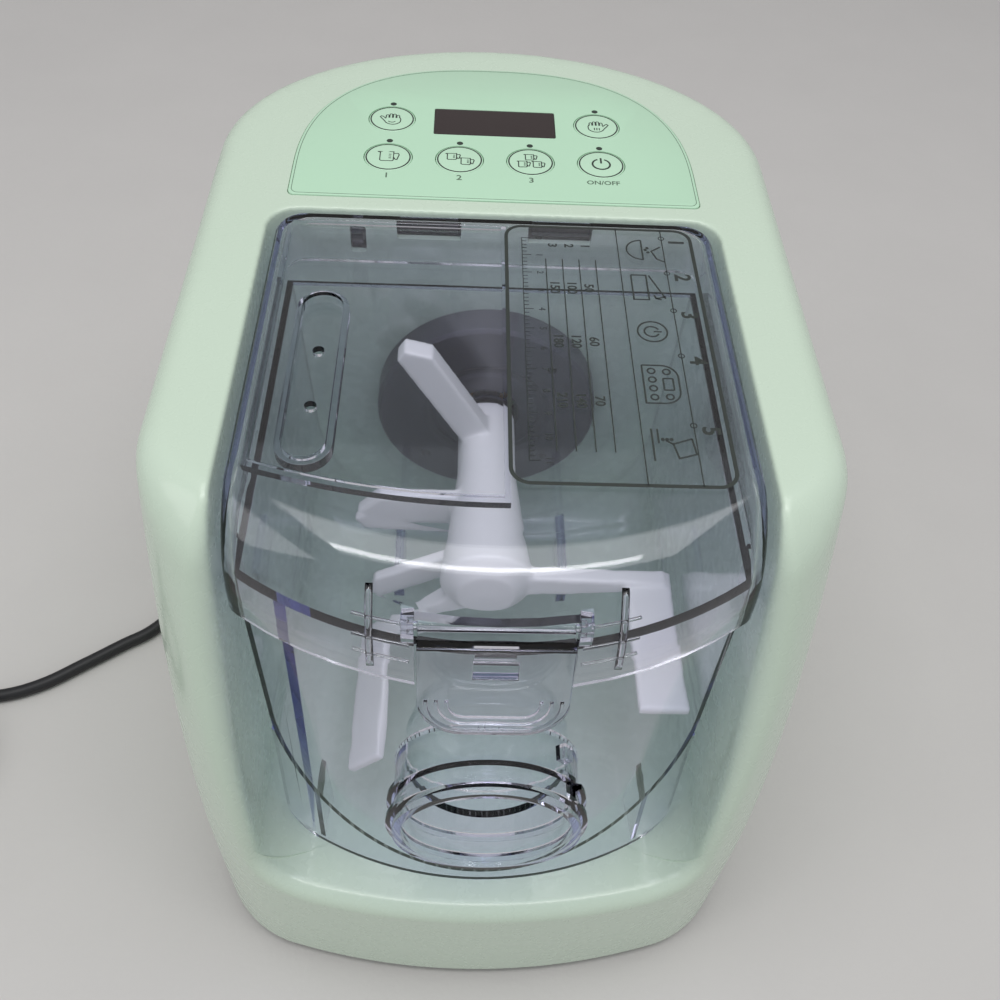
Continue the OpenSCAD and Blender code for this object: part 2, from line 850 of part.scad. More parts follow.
module output_gear() {
    color([0.93, 0.92, 0.88])
    along_y(0, out_y0, drive_z)
        difference() {
            union() {
                linear_extrude(out_w)
                    polygon(gear_plan(out_mod, out_teeth, down_out));
                cylinder(r = bush_r + 2, h = out_w + 6);
            }
            translate([0, 0, -over])
                cylinder(r = shaft_r, h = out_w + 10);
            for (a = [30:60:330])
                rotate(a)
                    translate([out_r * 0.6, 0, -over])
                        cylinder(r = out_r * 0.17, h = out_w + 2 * over, $fn = 32);
        }
}

// Idler: a small gear and a large gear moulded in one, running on the fixed pin
module idler_gear() {
    color([0.93, 0.92, 0.88])
    along_y(idler_x, out_y0, idler_z)
        difference() {
            union() {
                linear_extrude(out_w + 1.5)
                    polygon(gear_plan(out_mod, small_teeth, small_phase));
                translate([0, 0, out_w + 1.5])
                    cylinder(r = small_r, h = 1.5);
                translate([0, 0, in_y0 - out_y0])
                    linear_extrude(in_w)
                        polygon(gear_plan(in_mod, large_teeth, large_phase));
            }
            translate([0, 0, -over])
                cylinder(r = motor_shaft_r + run_fit, h = out_w + in_w + 10);
        }
}

module motor_can() {
    color([0.66, 0.67, 0.69])
    along_y(0, motor_y0, motor_z)
        difference() {
            cylinder(r = motor_r, h = motor_len);
            translate([0, 0, can_end])
                cylinder(r = motor_r - can_wall, h = motor_len - 2 * can_end);
            translate([0, 0, -over])
                cylinder(r = motor_shaft_r + run_fit, h = motor_len + 2 * over);
        }
}

air_gap = 0.6;
module motor_stator() {
    color([0.55, 0.36, 0.24])
    along_y(0, motor_y0 + winding_end, motor_z)
        difference() {
            cylinder(r = motor_r - can_wall, h = motor_len - 2 * winding_end);
            translate([0, 0, -over])
                cylinder(r = rotor_r + air_gap, h = motor_len);
        }
}

module motor_rotor() {
    color([0.60, 0.61, 0.63])
    union() {
        along_y(0, motor_y0 + winding_end + 1, motor_z)
            cylinder(r = rotor_r, h = motor_len - 2 * winding_end - 2);
        along_y(0, in_y0 - 1, motor_z)
            cylinder(r = motor_shaft_r, h = fan_y0 + fan_w - in_y0 + 1);
    }
}

module motor_pinion() {
    color([0.78, 0.66, 0.36])
    along_y(0, in_y0 - 1, motor_z)
        difference() {
            linear_extrude(in_w + 2)
                polygon(gear_plan(in_mod, pinion_teeth, pinion_phase));
            translate([0, 0, -over])
                cylinder(r = motor_shaft_r, h = in_w + 2 + 2 * over);
        }
}

module cooling_fan() {
    color([0.20, 0.20, 0.22])
    along_y(0, fan_y0, motor_z)
        difference() {
            union() {
                cylinder(r = motor_shaft_r + 4, h = fan_w);
                cylinder(r = fan_r, h = 1.6);
                for (a = [0:36:324])
                    rotate(a)
                        translate([motor_shaft_r + 3, -0.8, 1])
                            rotate([0, 0, 12])
                                cube([fan_r - motor_shaft_r - 4.5, 1.6, fan_w - 1]);
            }
            translate([0, 0, -over])
                cylinder(r = motor_shaft_r, h = fan_w + 2 * over);
        }
}

// Power board on its stand-offs: a choke, a relay, two capacitors and a heat sink
supply_set = 96;
supply_y = front_y + supply_set;
supply_w = 90;
supply_d = 80;
supply_edge = 8;
standoff_h = 6;
board_t = 1.6;
choke = [28, 24, 22];
relay = [20, 16, 16];
sink = [3, 26, 24];
capacitor_r = 8;
capacitor_h = 26;
module power_board() {
    color([0.18, 0.42, 0.26])
    translate([0, supply_y, base_z + base_t + standoff_h + seat])
        union() {
            translate([-supply_w / 2, -supply_d / 2, 0])
                cube([supply_w, supply_d, board_t]);
            translate([supply_edge - supply_w / 2, supply_edge - supply_d / 2, board_t - 0.1])
                cube(choke);
            translate([capacitor_r / 2, supply_edge - supply_d / 2, board_t - 0.1])
                cube(relay);
            for (i = [0:1])
                translate([(1 + 5 * i) * capacitor_r / 2, supply_d / 2 - 2.75 * capacitor_r,
                        board_t - 0.1])
                    cylinder(r = capacitor_r, h = capacitor_h, $fn = 40);
            translate([supply_edge - supply_w / 2, supply_d / 2 - 4 - sink[1], board_t - 0.1])
                cube(sink);
        }
}

// Switch behind the bay's back wall that senses the lid's tongue
tongue_sw_w = 20;
module lid_switch() {
    color([0.20, 0.20, 0.22])
    translate([tongue_x - tongue_sw_w / 2, bay_back + wall + 0.2, tongue_z - 6])
        cube([tongue_sw_w, tongue_sw_w / 2, 2 * tongue_h]);
}

// ---- Tub ----

// Outline of the tub's trough in the XZ plane about the drive axis, moved inwards by g
module trough(g, top) {
    union() {
        intersection() {
            circle(r = tub_r - g);
            translate([-tub_r, -tub_r])
                square([2 * tub_r, tub_r + over]);
        }
        polygon([[-tub_r + g, 0], [-tub_top_hw + g, top], [tub_top_hw - g, top],
            [tub_r - g, 0]]);
    }
}

// Upright extrusion along Y, from y0 to y1, of an outline drawn in X and height over the axis
module across(y0, y1) {
    translate([0, y1, drive_z])
        rotate([90, 0, 0])
            linear_extrude(y1 - y0)
                children();
}

// The leaning, bowed front of the tub as a solid drum, moved inwards by g
apron_z = bay_floor + seat;
module front_drum(g) {
    translate([0, tub_bow + tub_front, apron_z])
        rotate([-tub_lean, 0, 0])
            translate([0, 0, -60])
                cylinder(r = tub_bow - g, h = 280, $fn = 180);
}

// Outline of the front wall: the trough with a round-cornered apron below it
apron_r = 12;
module front_outline() {
    low = apron_z - drive_z;
    r = apron_r;
    union() {
        trough(0, tub_side_h);
        translate([-tub_r + r, low])
            square([2 * tub_r - 2 * r, tub_r]);
        translate([-tub_r, low + r])
            square([2 * tub_r, tub_r - 1.7 * r]);
        for (x = [-tub_r + r, tub_r - r])
            translate([x, low + r])
                circle(r = r);
    }
}

// Y of the collar's rim, flush with the foremost point of the housing
collar_y0 = front_y;
collar_y1 = tub_front + 12;
bore_r = collar_r - collar_wall;
thread_start = 2.4;

// Lock lug and its slot stand at this angle above the horizontal, on the right
lug_a = 42;
lug_w = 4;
lug_len = 5;

// Ribs that stiffen the apron, and the heels under the back of the trough
rib_t = 2;
rib_in = 15;
rib_reach = 31;

// Bump that the latch's window catches on
catch_w = 12;
catch_d = 4;
catch_h = 3.5;
heel_x = 38;
heel_len = 38;

// Trough with its flange: open at the top, and in front against the front wall's inner face
module mixing_tub() {
    color([0.78, 0.82, 0.90, 0.4])
    difference() {
        union() {
            difference() {
                intersection() {
                    across(tub_front - 10, tub_back)
                        trough(0, tub_side_h);
                    front_drum(tub_wall);
                }
                across(tub_front - 10, tub_back - tub_wall)
                    trough(tub_wall, tub_side_h + over);
            }
            // heels under the back of the trough
            for (side = [-1, 1])
                translate([side * heel_x - rib_t, tub_back - heel_len - 2 * rib_t, apron_z])
                    cube([2 * rib_t, heel_len, drive_z - apron_z
                        - sqrt(tub_r * tub_r - pow(heel_x + rib_t, 2)) + 1.5]);
            // flange round the sides and the back of the rim
            difference() {
                translate([0, 0, rim_z - rim_t])
                    linear_extrude(rim_t)
                        rim_outline(0);
                translate([0, 0, rim_z - rim_t - over])
                    linear_extrude(rim_t + 2 * over)
                        rim_hole();
            }
        }
        // hole for the seal
        along_y(0, tub_back - tub_wall - over, drive_z)
            cylinder(r = bush_r + 2, h = tub_wall + 2 * over);
    }
}

// Front wall of the tub with its apron down to the bay's floor
module tub_front_wall() {
    color([0.78, 0.82, 0.90, 0.4])
    difference() {
        union() {
            intersection() {
                difference() {
                    front_drum(0);
                    front_drum(tub_wall);
                }
                across(tub_front - 10, tub_front + 60)
                    front_outline();
            }
            // ribs behind the apron, up to the trough's underside
            difference() {
                intersection() {
                    for (side = [-1, 1])
                        translate([side * (tub_r - rib_in) - rib_t / 2, tub_front + rib_t,
                                apron_z + rib_t])
                            cube([rib_t, rib_reach, tub_r / 2]);
                    front_drum(1);
                }
                across(tub_front - 10, tub_back)
                    trough(0, tub_side_h);
            }
            translate([-catch_w / 2, lid_front + 3.8, rim_z - catch_h])
                cube([catch_w, catch_d, catch_h]);
        }
        along_y(0, collar_y0 - over, drive_z)
            cylinder(r = collar_r, h = collar_y1 - collar_y0 + 2 * over);
    }
}

// Outlet: a collar through the front wall, threaded outside, with a lock lug and its slot
module outlet_collar() {
    color([0.78, 0.82, 0.90, 0.4])
    along_y(0, collar_y0, drive_z)
        difference() {
            union() {
                cylinder(r = collar_r, h = collar_y1 - collar_y0);
                for (i = [0:1])
                    translate([0, 0, thread_start + i * thread_pitch])
                        rotate_extrude()
                            polygon([[collar_r - 0.5, 0], [collar_r, 0],
                                [collar_r + thread_h, thread_w * 0.25],
                                [collar_r + thread_h, thread_w * 0.75],
                                [collar_r, thread_w], [collar_r - 0.5, thread_w]]);
                translate([0, 0, thread_start + 2 * thread_pitch - 1])
                    rotate(-lug_a)
                        translate([collar_r - 0.5, -lug_w / 2, 0])
                            cube([lug_w, lug_w, lug_len]);
            }
            translate([0, 0, -over])
                cylinder(r = bore_r, h = collar_y1 - collar_y0 + 2 * over);
            translate([0, 0, lug_len - 1])
                rotate(-lug_a + 14)
                    translate([bore_r - over, -lug_len / 2, 0])
                        cube([2 * lug_len, lug_len, 2 * lug_len]);
        }
}

// Flange outline in plan: rounded back corners, straight sides
flange_back = bay_back - rim_gap;
flange_front = tub_front + 51;
module rim_outline(g) {
    r = bay_back_r - rim_gap;
    union() {
        translate([-rim_hw, flange_front])
            square([2 * rim_hw, flange_back - r - flange_front]);
        translate([-rim_hw + r, flange_front])
            square([2 * rim_hw - 2 * r, flange_back - flange_front]);
        for (x = [-rim_hw + r, rim_hw - r])
            translate([x, flange_back - r])
                circle(r = r);
    }
}

module rim_hole() {
    translate([-tub_top_hw + tub_wall, flange_front - over])
        square([2 * (tub_top_hw - tub_wall), tub_back - tub_wall - flange_front + over]);
}

module tub_seal() {
    color([0.25, 0.25, 0.27])
    along_y(0, tub_back - tub_wall, drive_z)
        difference() {
            cylinder(r = bush_r + 2, h = tub_wall);
            translate([0, 0, -over])
                cylinder(r = shaft_r + 0.4, h = tub_wall + 2 * over);
        }
}

// ---- Lid ----

lid_z0 = rim_z + lid_lift;
lip_z0 = rim_z - lid_lip;
lid_back = bay_back - 1.4;
lid_hw = bay_hw(body_h) - lid_gap;
lid_corner = 9;
lid_side_r = 3;

// Plan outline of the lid: rounded back corners, bowed front with round corners
function lid_plan(side_in, front_in) =
    let (hw = lid_hw - side_in,
         r = lid_corner,
         ex = hw - r,
         by = lid_front + front_in + lid_bow,
         cy = by - sqrt(pow(lid_bow - r, 2) - ex * ex),
         turn = asin(ex / (lid_bow - r)),
         rb = bay_back_r - 1.4,
         yb = lid_back - side_in * 0.5)
    closed(concat(
        open_arc(0, by, lid_bow, -90, -90 + turn, 7),
        arc(ex, cy, r, -90 + turn, 0, 5),
        arc(hw - rb, yb - rb, rb, 0, 90, 5),
        [[0, yb]]));

// The lid's outer form moved inwards by inset: sides drawn in, a bullnose at the front
module lid_form(inset, z0, top) {
    nose = lid_nose - inset;
    loft([for (z = concat([z0, top - nose], [for (a = [13:11:90]) top - nose + nose * sin(a)]))
        at_z(lid_plan(
            inset + 1.5 * (z - z0) / (top - z0) + roll(z, top, lid_side_r),
            inset + roll(z, top, nose)), z)]);
}

// Plan of the water tray: the left half, with an arched front edge
tray_front_r = 240;
module tray_plan(g) {
    intersection() {
        translate([-lid_hw + 7.5 - g, lid_front])
            square([lid_hw - 5.5 + 2 * g, lid_back - 6.6 - lid_front + g]);
        translate([0, lid_front + tray_set + tray_front_r])
            circle(r = tray_front_r + g, $fn = 180);
    }
}

// Plan of the water slot
slot_x = -lid_hw + 22.7;
slot_y = lid_front + tray_set + 15.5 + slot_len / 2;
module slot_plan(g) {
    half = slot_len / 2 - slot_w / 2;
    union() {
        translate([slot_x - slot_w / 2 - g, slot_y - half])
            square([slot_w + 2 * g, 2 * half]);
        for (y = [slot_y - half, slot_y + half])
            translate([slot_x, y])
                circle(r = slot_w / 2 + g);
    }
}

// Pivot of the latch at the front of the lid
pivot_y = lid_front + 8;
pivot_z = rim_z + 7.6;
notch_w = latch_w + 2;

module lid() {
    color([0.80, 0.84, 0.92, 0.4])
    difference() {
        union() {
            difference() {
                lid_form(0, lip_z0, body_h);
                lid_form(lid_t, lip_z0 - over, body_h - lid_t);
                // the skirt stops above the tub's rim, behind the front lip
                translate([-lid_hw - over, flange_front - 4, lip_z0 - over])
                    cube([2 * lid_hw + 2 * over, lid_back - flange_front + 5, lid_z0 - lip_z0 + over]);
            }
            // floor of the tray and of the slot
            translate([0, 0, body_h - tray_d - lid_t])
                linear_extrude(lid_t + 0.5)
                    tray_plan(lid_t - 0.6);
            translate([0, 0, body_h - tray_d - slot_d - lid_t])
                linear_extrude(slot_d + lid_t)
                    slot_plan(2);
            // tabs that hook into the bay's back wall, and the switch tongue
            for (x = [-tab_x, tab_x])
                translate([x - tab_w / 2, lid_back - lid_t, tab_z])
                    cube([tab_w, lid_t + 3.6, tab_h]);
            translate([tongue_x - tongue_w / 2, lid_back - lid_t, tongue_z])
                cube([tongue_w, lid_t + 2.8, tongue_h]);
            // ears of the latch's pivot
            for (x = [-notch_w / 2 - 3.6, notch_w / 2])
                translate([x, pivot_y - 4, pivot_z - 3])
                    cube([3.6, 7, 9]);
        }
        translate([0, 0, body_h - tray_d])
            linear_extrude(tray_d + over)
                tray_plan(0);
        translate([0, 0, body_h - tray_d - slot_d])
            linear_extrude(slot_d + over)
                slot_plan(0);
        for (y = [slot_y - 13, slot_y + 13])
            translate([slot_x, y, body_h - tray_d - slot_d - lid_t - over])
                cylinder(r = drip_d / 2, h = lid_t + 2 * over, $fn = 24);
        // notch for the latch in the front lip
        translate([-notch_w / 2, lid_front - over, lip_z0 - over])
            cube([notch_w, 12, pivot_z + 3.2 - lip_z0 + over]);
        translate([-notch_w / 2 - 2, pivot_y, pivot_z])
            rotate([0, 90, 0])
                cylinder(r = latch_pin_r + run_fit, h = notch_w + 4, $fn = 32);
    }
}

// Latch: a leaning pad with rounded lower corners, pivot pins and raised grip ribs
module pad_outline(g) {
    hw = latch_w / 2 - g;
    r = 14 - g;
    union() {
        translate([-hw, -latch_h + 14])
            square([2 * hw, latch_h - 14]);
        translate([-hw + r, -latch_h + g])
            square([2 * hw - 2 * r, latch_h - g]);
        for (x = [-hw + r, hw - r])
            translate([x, -latch_h + g + r])
                circle(r = r);
    }
}

module lid_latch() {
    color([0.80, 0.84, 0.92, 0.4])
    union() {
        translate([0, pivot_y - 5.6, pivot_z + 1.6])
            rotate([90 - latch_lean, 0, 0])
                difference() {
                    union() {
                        linear_extrude(latch_t)
                            pad_outline(0);
                        // grip ribs round the lower half
                        for (g = [2, 5, 8])
                            intersection() {
                                linear_extrude(latch_t + 0.8)
                                    difference() {
                                        pad_outline(g);
                                        pad_outline(g + 1);
                                    }
                                translate([-latch_w, -latch_h, 0])
                                    cube([2 * latch_w, latch_h * 0.42, 2 * latch_t]);
                            }
                    }
                    // window for the catch
                    translate([-6.5, -13, -over])
                        cube([13, 6, latch_t + 2 * over]);
                }
        translate([-latch_w / 2, pivot_y - 7, pivot_z - 1])
            cube([latch_w, 7, 2]);
        translate([-latch_w / 2, pivot_y, pivot_z])
            rotate([0, 90, 0])
                cylinder(r = 2, h = latch_w, $fn = 32);
        translate([-notch_w / 2 - 1.6, pivot_y, pivot_z])
            rotate([0, 90, 0])
                cylinder(r = latch_pin_r, h = notch_w + 3.2, $fn = 32);
    }
}

// ---- Paddle ----

hub_back = tub_back - tub_wall - 2;
hub_front = tub_front + hub_set;
hub_len = hub_back - hub_front;
sweep_r = tub_r - tub_wall - sweep_gap;
arm_t = 5;

// A flat arm in the XZ plane from the hub to radius len, w wide and t thick, at angle a
module arm(a, y0, len, w, t) {
    translate([0, y0 + t, drive_z])
        rotate([90, 0, 0])
            rotate(a)
                translate([0, -w / 2, 0])
                    linear_extrude(t)
                        polygon([[0, 0], [len - w * 0.6, 0], [len, w * 0.6], [len - w * 0.2, w],
                            [0, w]]);
}

// A scraper: an arm at the hub's front end with a radial blade that runs forwards
module scraper(a) {
    translate([0, hub_front + hub_r * 0.67, drive_z])
        rotate([90, 0, 0])
            rotate(a) {
                translate([0, -hub_r / 2, 0])
                    linear_extrude(arm_t * 1.4)
                        polygon([[0, 0], [sweep_r - 3, hub_r / 4], [sweep_r - 3, hub_r * 0.75],
                            [0, hub_r]]);
                translate([sweep_r - scraper_w, -scraper_t / 2, 0])
                    cube([scraper_w - 0.5, scraper_t, scraper_len + hub_r * 0.67]);
            }
}

module mixing_paddle() {
    color([0.87, 0.86, 0.86])
    difference() {
        union() {
            along_y(0, hub_front, drive_z)
                rotate_extrude()
                    polygon([[0, -4], [hub_flare_r * 0.6, -3], [hub_flare_r, 3],
                        [hub_flare_r * 0.94, 12], [hub_r + 2, hub_len * 0.4],
                        [hub_r, hub_len * 0.64], [hub_r, hub_len], [0, hub_len]]);
            arm(120, hub_back - hub_len * 0.21, sweep_r * 0.9, hub_r * 1.08, arm_t * 1.8);
            arm(180, hub_front + hub_len * 0.41, sweep_r * 0.73, hub_r * 1.33, arm_t * 1.2);
            arm(212, hub_front + hub_len * 0.2, sweep_r * 0.79, hub_r, arm_t);
            scraper(0);
            scraper(225);
        }
        along_y(0, hex_y0 - 3, drive_z)
            cylinder(r = shaft_r + 0.35, h = hub_back - hex_y0 + 3 + over, $fn = 6);
        along_y(0, hex_y1 - seat, drive_z)
            cylinder(r = shaft_r + 0.35, h = 20);
    }
}

// ---- Mains lead ----

boot_len = 30;
boot_y1 = cord_wall_y + boot_len;

module strain_relief() {
    color([0.07, 0.07, 0.08])
    along_y(cord_x, cord_wall_y - 10, cord_z)
        difference() {
            rotate_extrude()
                polygon([[0, 0], [outlet_r - 0.2, 0], [outlet_r - 0.2, 12.5], [outlet_r + 2, 12.5],
                    [outlet_r + 2, 15], [outlet_r - 0.6, 17], [cord_d / 2 + 1, 10 + boot_len],
                    [0, 10 + boot_len]]);
            for (i = [0:4])
                translate([0, 0, 20 + i * 4])
                    difference() {
                        cylinder(r = 12, h = 1.4, $fn = 32);
                        cylinder(r = cord_d / 2 + 0.6, h = 1.4, $fn = 32);
                    }
        }
}

// Route of the lead along its middle line: out of the boot, down to the worktop, round to
// the left side and forwards to the coil
floor_z = cord_d / 2;
ROUTE = [
    [cord_x, boot_y1, cord_z],
    [-45, 196, 27],
    [-48, 208, 22],
    [-54, 219, 14],
    [-63, 227, 6.5],
    [-76, 231, floor_z],
    [-92, 230, floor_z],
    [-108, 223, floor_z],
    [-122, 211, floor_z],
    [-133, 195, floor_z],
    [-141, 176, floor_z],
    [-146, 155, floor_z],
    [-149, 132, floor_z],
    [-150, 108, floor_z],
    [-150, 84, floor_z],
    [-151, 60, floor_z],
    [-154, 37, floor_z],
    [-160, 17, floor_z],
    [-170, 3, floor_z],
    [-183, -6, floor_z],
    [-200, -18, floor_z],
    [-220, -31, floor_z],
    [-238, -38, floor_z],
    [-256, -41, floor_z]];

// Smooth point between route points i and i + 1
function at(i) = ROUTE[max(0, min(len(ROUTE) - 1, i))];
function spline(i, t) =
    let (a = at(i - 1), b = at(i), c = at(i + 1), d = at(i + 2))
    0.5 * (2 * b + (c - a) * t + (2 * a - 5 * b + 4 * c - d) * t * t
        + (3 * b - a - 3 * c + d) * t * t * t);
ring_steps = 2;
PATH = concat(
    [for (i = [0:len(ROUTE) - 2], k = [0:ring_steps - 1]) spline(i, k / ring_steps)],
    [ROUTE[len(ROUTE) - 1]]);
cord_sides = 10;

function unit(v) = v / norm(v);
function along(i) = unit(PATH[min(i + 1, len(PATH) - 1)] - PATH[max(i - 1, 0)]);
function ring(i) =
    let (t = i == 0 ? [0, 1, 0] : i == len(PATH) - 1 ? [-1, 0, 0] : along(i),
         u = unit(cross(t, [0, 0, 1])),
         v = cross(u, t))
    [for (k = [0:cord_sides - 1])
        PATH[i] + cord_d / 2 * (u * cos(360 * k / cord_sides) + v * sin(360 * k / cord_sides))];

module power_cord() {
    n = len(PATH);
    s = cord_sides;
    color([0.06, 0.06, 0.07])
    polyhedron(
        points = [for (i = [0:n - 1]) each ring(i)],
        faces = concat(
            [[for (k = [s - 1:-1:0]) k]],
            [for (i = [0:n - 2], k = [0:s - 1])
                [i * s + k, i * s + (k + 1) % s, (i + 1) * s + (k + 1) % s, (i + 1) * s + k]],
            [[for (k = [0:s - 1]) (n - 1) * s + k]]));
}

// Coil of the stored length, just past the end of the route
coil_x = ROUTE[len(ROUTE) - 1][0] - 22;
coil_y = ROUTE[len(ROUTE) - 1][1] - coil_r;
module cord_coil() {
    color([0.06, 0.06, 0.07])
    translate([coil_x, coil_y, 0])
        rotate_extrude()
            translate([coil_r - cord_d, 0])
                square([2 * cord_d, 2 * cord_d]);
}

// Two-blade plug whose sleeve takes the coil's top turn where that runs off to the left
sleeve_len = 22;
grip_len = 26;
grip_w = 18;
grip_h = 15;
blade_gap = 12.7;
blade_len = 17;
blade_w = 6;
blade_t = 1.5;
module power_plug() {
    color([0.07, 0.07, 0.08])
    translate([coil_x - coil_r * 0.7, coil_y + coil_r, 0])
        union() {
            translate([-sleeve_len - grip_len, -grip_w / 2, 0])
                cube([grip_len, grip_w, grip_h]);
            translate([-sleeve_len, 0, grip_h / 2])
                rotate([0, 90, 0])
                    cylinder(r1 = grip_h / 2 - 1, r2 = cord_d / 2 + 0.8, h = sleeve_len, $fn = 32);
            for (side = [-1, 1])
                translate([-sleeve_len - grip_len - blade_len,
                        (side * blade_gap - blade_t) / 2, (grip_h - blade_w) / 2])
                    cube([blade_len + 1, blade_t, blade_w]);
        }
}

housing_shell();
base_plate();
rubber_feet();
base_screws();
side_cover_left();
side_cover_right();
control_panel();
display_window();
key_lamps();
control_board();
key_knead();
key_extrude();
key_one();
key_two();
key_three();
key_power();
drive_disc();
gearcase();
gearcase_cover();
gearcase_screws();
bush_front();
bush_rear();
idler_pin();
drive_shaft();
output_gear();
idler_gear();
motor_can();
motor_stator();
motor_rotor();
motor_pinion();
cooling_fan();
power_board();
lid_switch();
mixing_tub();
tub_front_wall();
outlet_collar();
tub_seal();
lid();
lid_latch();
mixing_paddle();
strain_relief();
power_cord();
cord_coil();
power_plug();
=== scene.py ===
# %% [markdown]
# # An electric pasta maker
#
# A countertop machine about as big as a toaster: a moulded housing with an open bay, a clear
# mixing tub in the bay, a clear hinged lid on top, a kneading paddle on a geared motor drive and
# a panel with six keys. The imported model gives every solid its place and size. Here each piece
# gets its finish, and the moulded shells are made again as smooth surfaces, because a loft of
# flat facets shows its edges under a studio lamp.

import math

import bmesh
import bpy
import numpy as np
from mathutils import Matrix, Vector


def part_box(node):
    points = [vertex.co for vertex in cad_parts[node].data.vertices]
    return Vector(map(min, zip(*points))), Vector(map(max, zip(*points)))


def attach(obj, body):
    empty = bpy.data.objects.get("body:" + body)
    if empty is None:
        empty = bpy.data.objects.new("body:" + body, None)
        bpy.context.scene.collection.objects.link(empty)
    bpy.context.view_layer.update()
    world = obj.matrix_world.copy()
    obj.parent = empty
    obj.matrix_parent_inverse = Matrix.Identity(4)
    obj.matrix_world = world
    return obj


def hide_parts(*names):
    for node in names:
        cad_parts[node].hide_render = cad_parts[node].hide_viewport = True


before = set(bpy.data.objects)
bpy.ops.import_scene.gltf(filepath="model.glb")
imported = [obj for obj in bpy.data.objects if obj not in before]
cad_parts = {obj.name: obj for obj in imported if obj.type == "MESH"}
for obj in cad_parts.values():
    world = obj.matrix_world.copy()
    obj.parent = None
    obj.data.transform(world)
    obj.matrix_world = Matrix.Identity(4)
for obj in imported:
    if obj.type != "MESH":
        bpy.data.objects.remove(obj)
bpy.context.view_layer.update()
scene = bpy.context.scene
MM = 0.001
print("nodes in the frame:", len(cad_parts))

# %% [markdown]
# ## The camera
#
# The photographer stood in front of the machine and looked down into it. The position, the
# three turns and the lens were worked out from edges whose real places are known. A wide lens
# this close makes the front look much wider than the back, so the distance matters more here
# than in a distant view.

# %% Camera
CAMERA_AT = (-0.0124, -0.2990, 0.4788)
CAMERA_LENS = 37.78
LOOK_DOWN, ROLL, TURN = (math.radians(a) for a in (50.094, 4.253, -3.765))


def camera_frame(down, roll, turn):
    """Right, up and back of a camera that looks along +Y, tips down, turns about Z, then rolls."""
    right = np.array([math.cos(turn), math.sin(turn), 0.0])
    ahead = np.array([-math.sin(turn), math.cos(turn), 0.0])
    up = math.sin(down) * ahead + math.cos(down) * np.array([0.0, 0.0, 1.0])
    tipped_right = math.cos(roll) * right + math.sin(roll) * up
    tipped_up = math.cos(roll) * up - math.sin(roll) * right
    return tipped_right, tipped_up, np.cross(tipped_right, tipped_up)


camera = bpy.data.objects.new("camera", bpy.data.cameras.new("camera"))
scene.collection.objects.link(camera)
camera.data.sensor_width = 36.0
camera.data.lens = CAMERA_LENS
turned = np.eye(4)
turned[:3, :3] = np.column_stack(camera_frame(LOOK_DOWN, ROLL, TURN))
turned[:3, 3] = CAMERA_AT
camera.matrix_world = Matrix(turned)
scene.camera = camera
print("camera at", CAMERA_AT, "lens", CAMERA_LENS)

# %% [markdown]
# ## Grids of points
#
# Most pieces here are grids: rows and columns of points worked out by a formula. The faces of a
# grid are always the same quads, so one helper makes them, and a second puts points and faces
# into an object that sits at the origin.


# %% Grid helpers
def grid_faces(rows, columns, around=False, across=False):
    """Quads of a grid of points, closed round its rows or its columns where asked."""
    i, j = np.meshgrid(np.arange(rows - 1 + across), np.arange(columns - 1 + around),
                       indexing="ij")
    i2, j2 = (i + 1) % rows, (j + 1) % columns
    return np.stack([i * columns + j, i * columns + j2, i2 * columns + j2, i2 * columns + j],
                    axis=-1).reshape(-1, 4)


def mesh_piece(name, points, faces, smooth=True, material=None):
    """A new object at the origin whose mesh is made from whole arrays."""
    data = bpy.data.meshes.new(name)
    data.from_pydata(np.asarray(points, float).reshape(-1, 3).tolist(), [],
                     [list(map(int, f)) for f in faces])
    data.polygons.foreach_set("use_smooth", np.full(len(data.polygons), smooth))
    data.validate()
    piece = bpy.data.objects.new(name, data)
    scene.collection.objects.link(piece)
    if material is not None:
        data.materials.append(material)
    return piece


print("grid helpers ready")

# %% [markdown]
# ## The mains lead
#
# A round black lead of 6.3 mm leaves the back wall in a tapered boot, drops to the worktop and
# runs forwards on the left, where it leaves the picture. What the picture doesn't show is put
# away as four turns in two layers. A lead has one thickness all the way, so it is a curve with a
# round bevel: the points give the route, and the curve keeps the section.

# %% Route and coil of the lead
CORD_D = 6.3 * MM
COIL_CENTRE = np.array([-278.0, -76.0]) * MM
FLOOR_Z = CORD_D / 2
ROUTE = np.array([
    [-45, 188.7, 28], [-45, 196, 27], [-48, 208, 22], [-54, 219, 14], [-63, 227, 6.5],
    [-76, 231, 3.15], [-92, 230, 3.15], [-108, 223, 3.15], [-122, 211, 3.15],
    [-133, 195, 3.15], [-141, 176, 3.15], [-146, 155, 3.15], [-149, 132, 3.15],
    [-150, 108, 3.15], [-150, 84, 3.15], [-151, 60, 3.15], [-154, 37, 3.15],
    [-160, 17, 3.15], [-170, 3, 3.15], [-183, -6, 3.15], [-200, -18, 3.15],
    [-220, -31, 3.15], [-238, -37, 3.15], [-257, -38.2, 3.15],
]) * MM
TURNS = 4
TURN_POINTS = 24


def coil_turns(centre, turns, per_turn):
    """Points of a coil: the first turn runs outside, the next two inside and the last outside
    again, one diameter higher from the third on. Each change is spread over a third of a turn."""
    t = np.arange(0, turns * per_turn + 1) / per_turn
    inner = np.clip((t - 0.85) * 3, 0, 1) - np.clip((t - 2.85) * 3, 0, 1)
    upper = np.clip((t - 1.85) * 3, 0, 1)
    ease = lambda s: s * s * (3 - 2 * s)
    radius = 6.06 * CORD_D - ease(inner) * CORD_D
    angle = math.pi / 2 + 2 * math.pi * t
    return np.column_stack([
        centre[0] + radius * np.cos(angle),
        centre[1] + radius * np.sin(angle),
        FLOOR_Z + ease(upper) * CORD_D * 0.99,
    ])


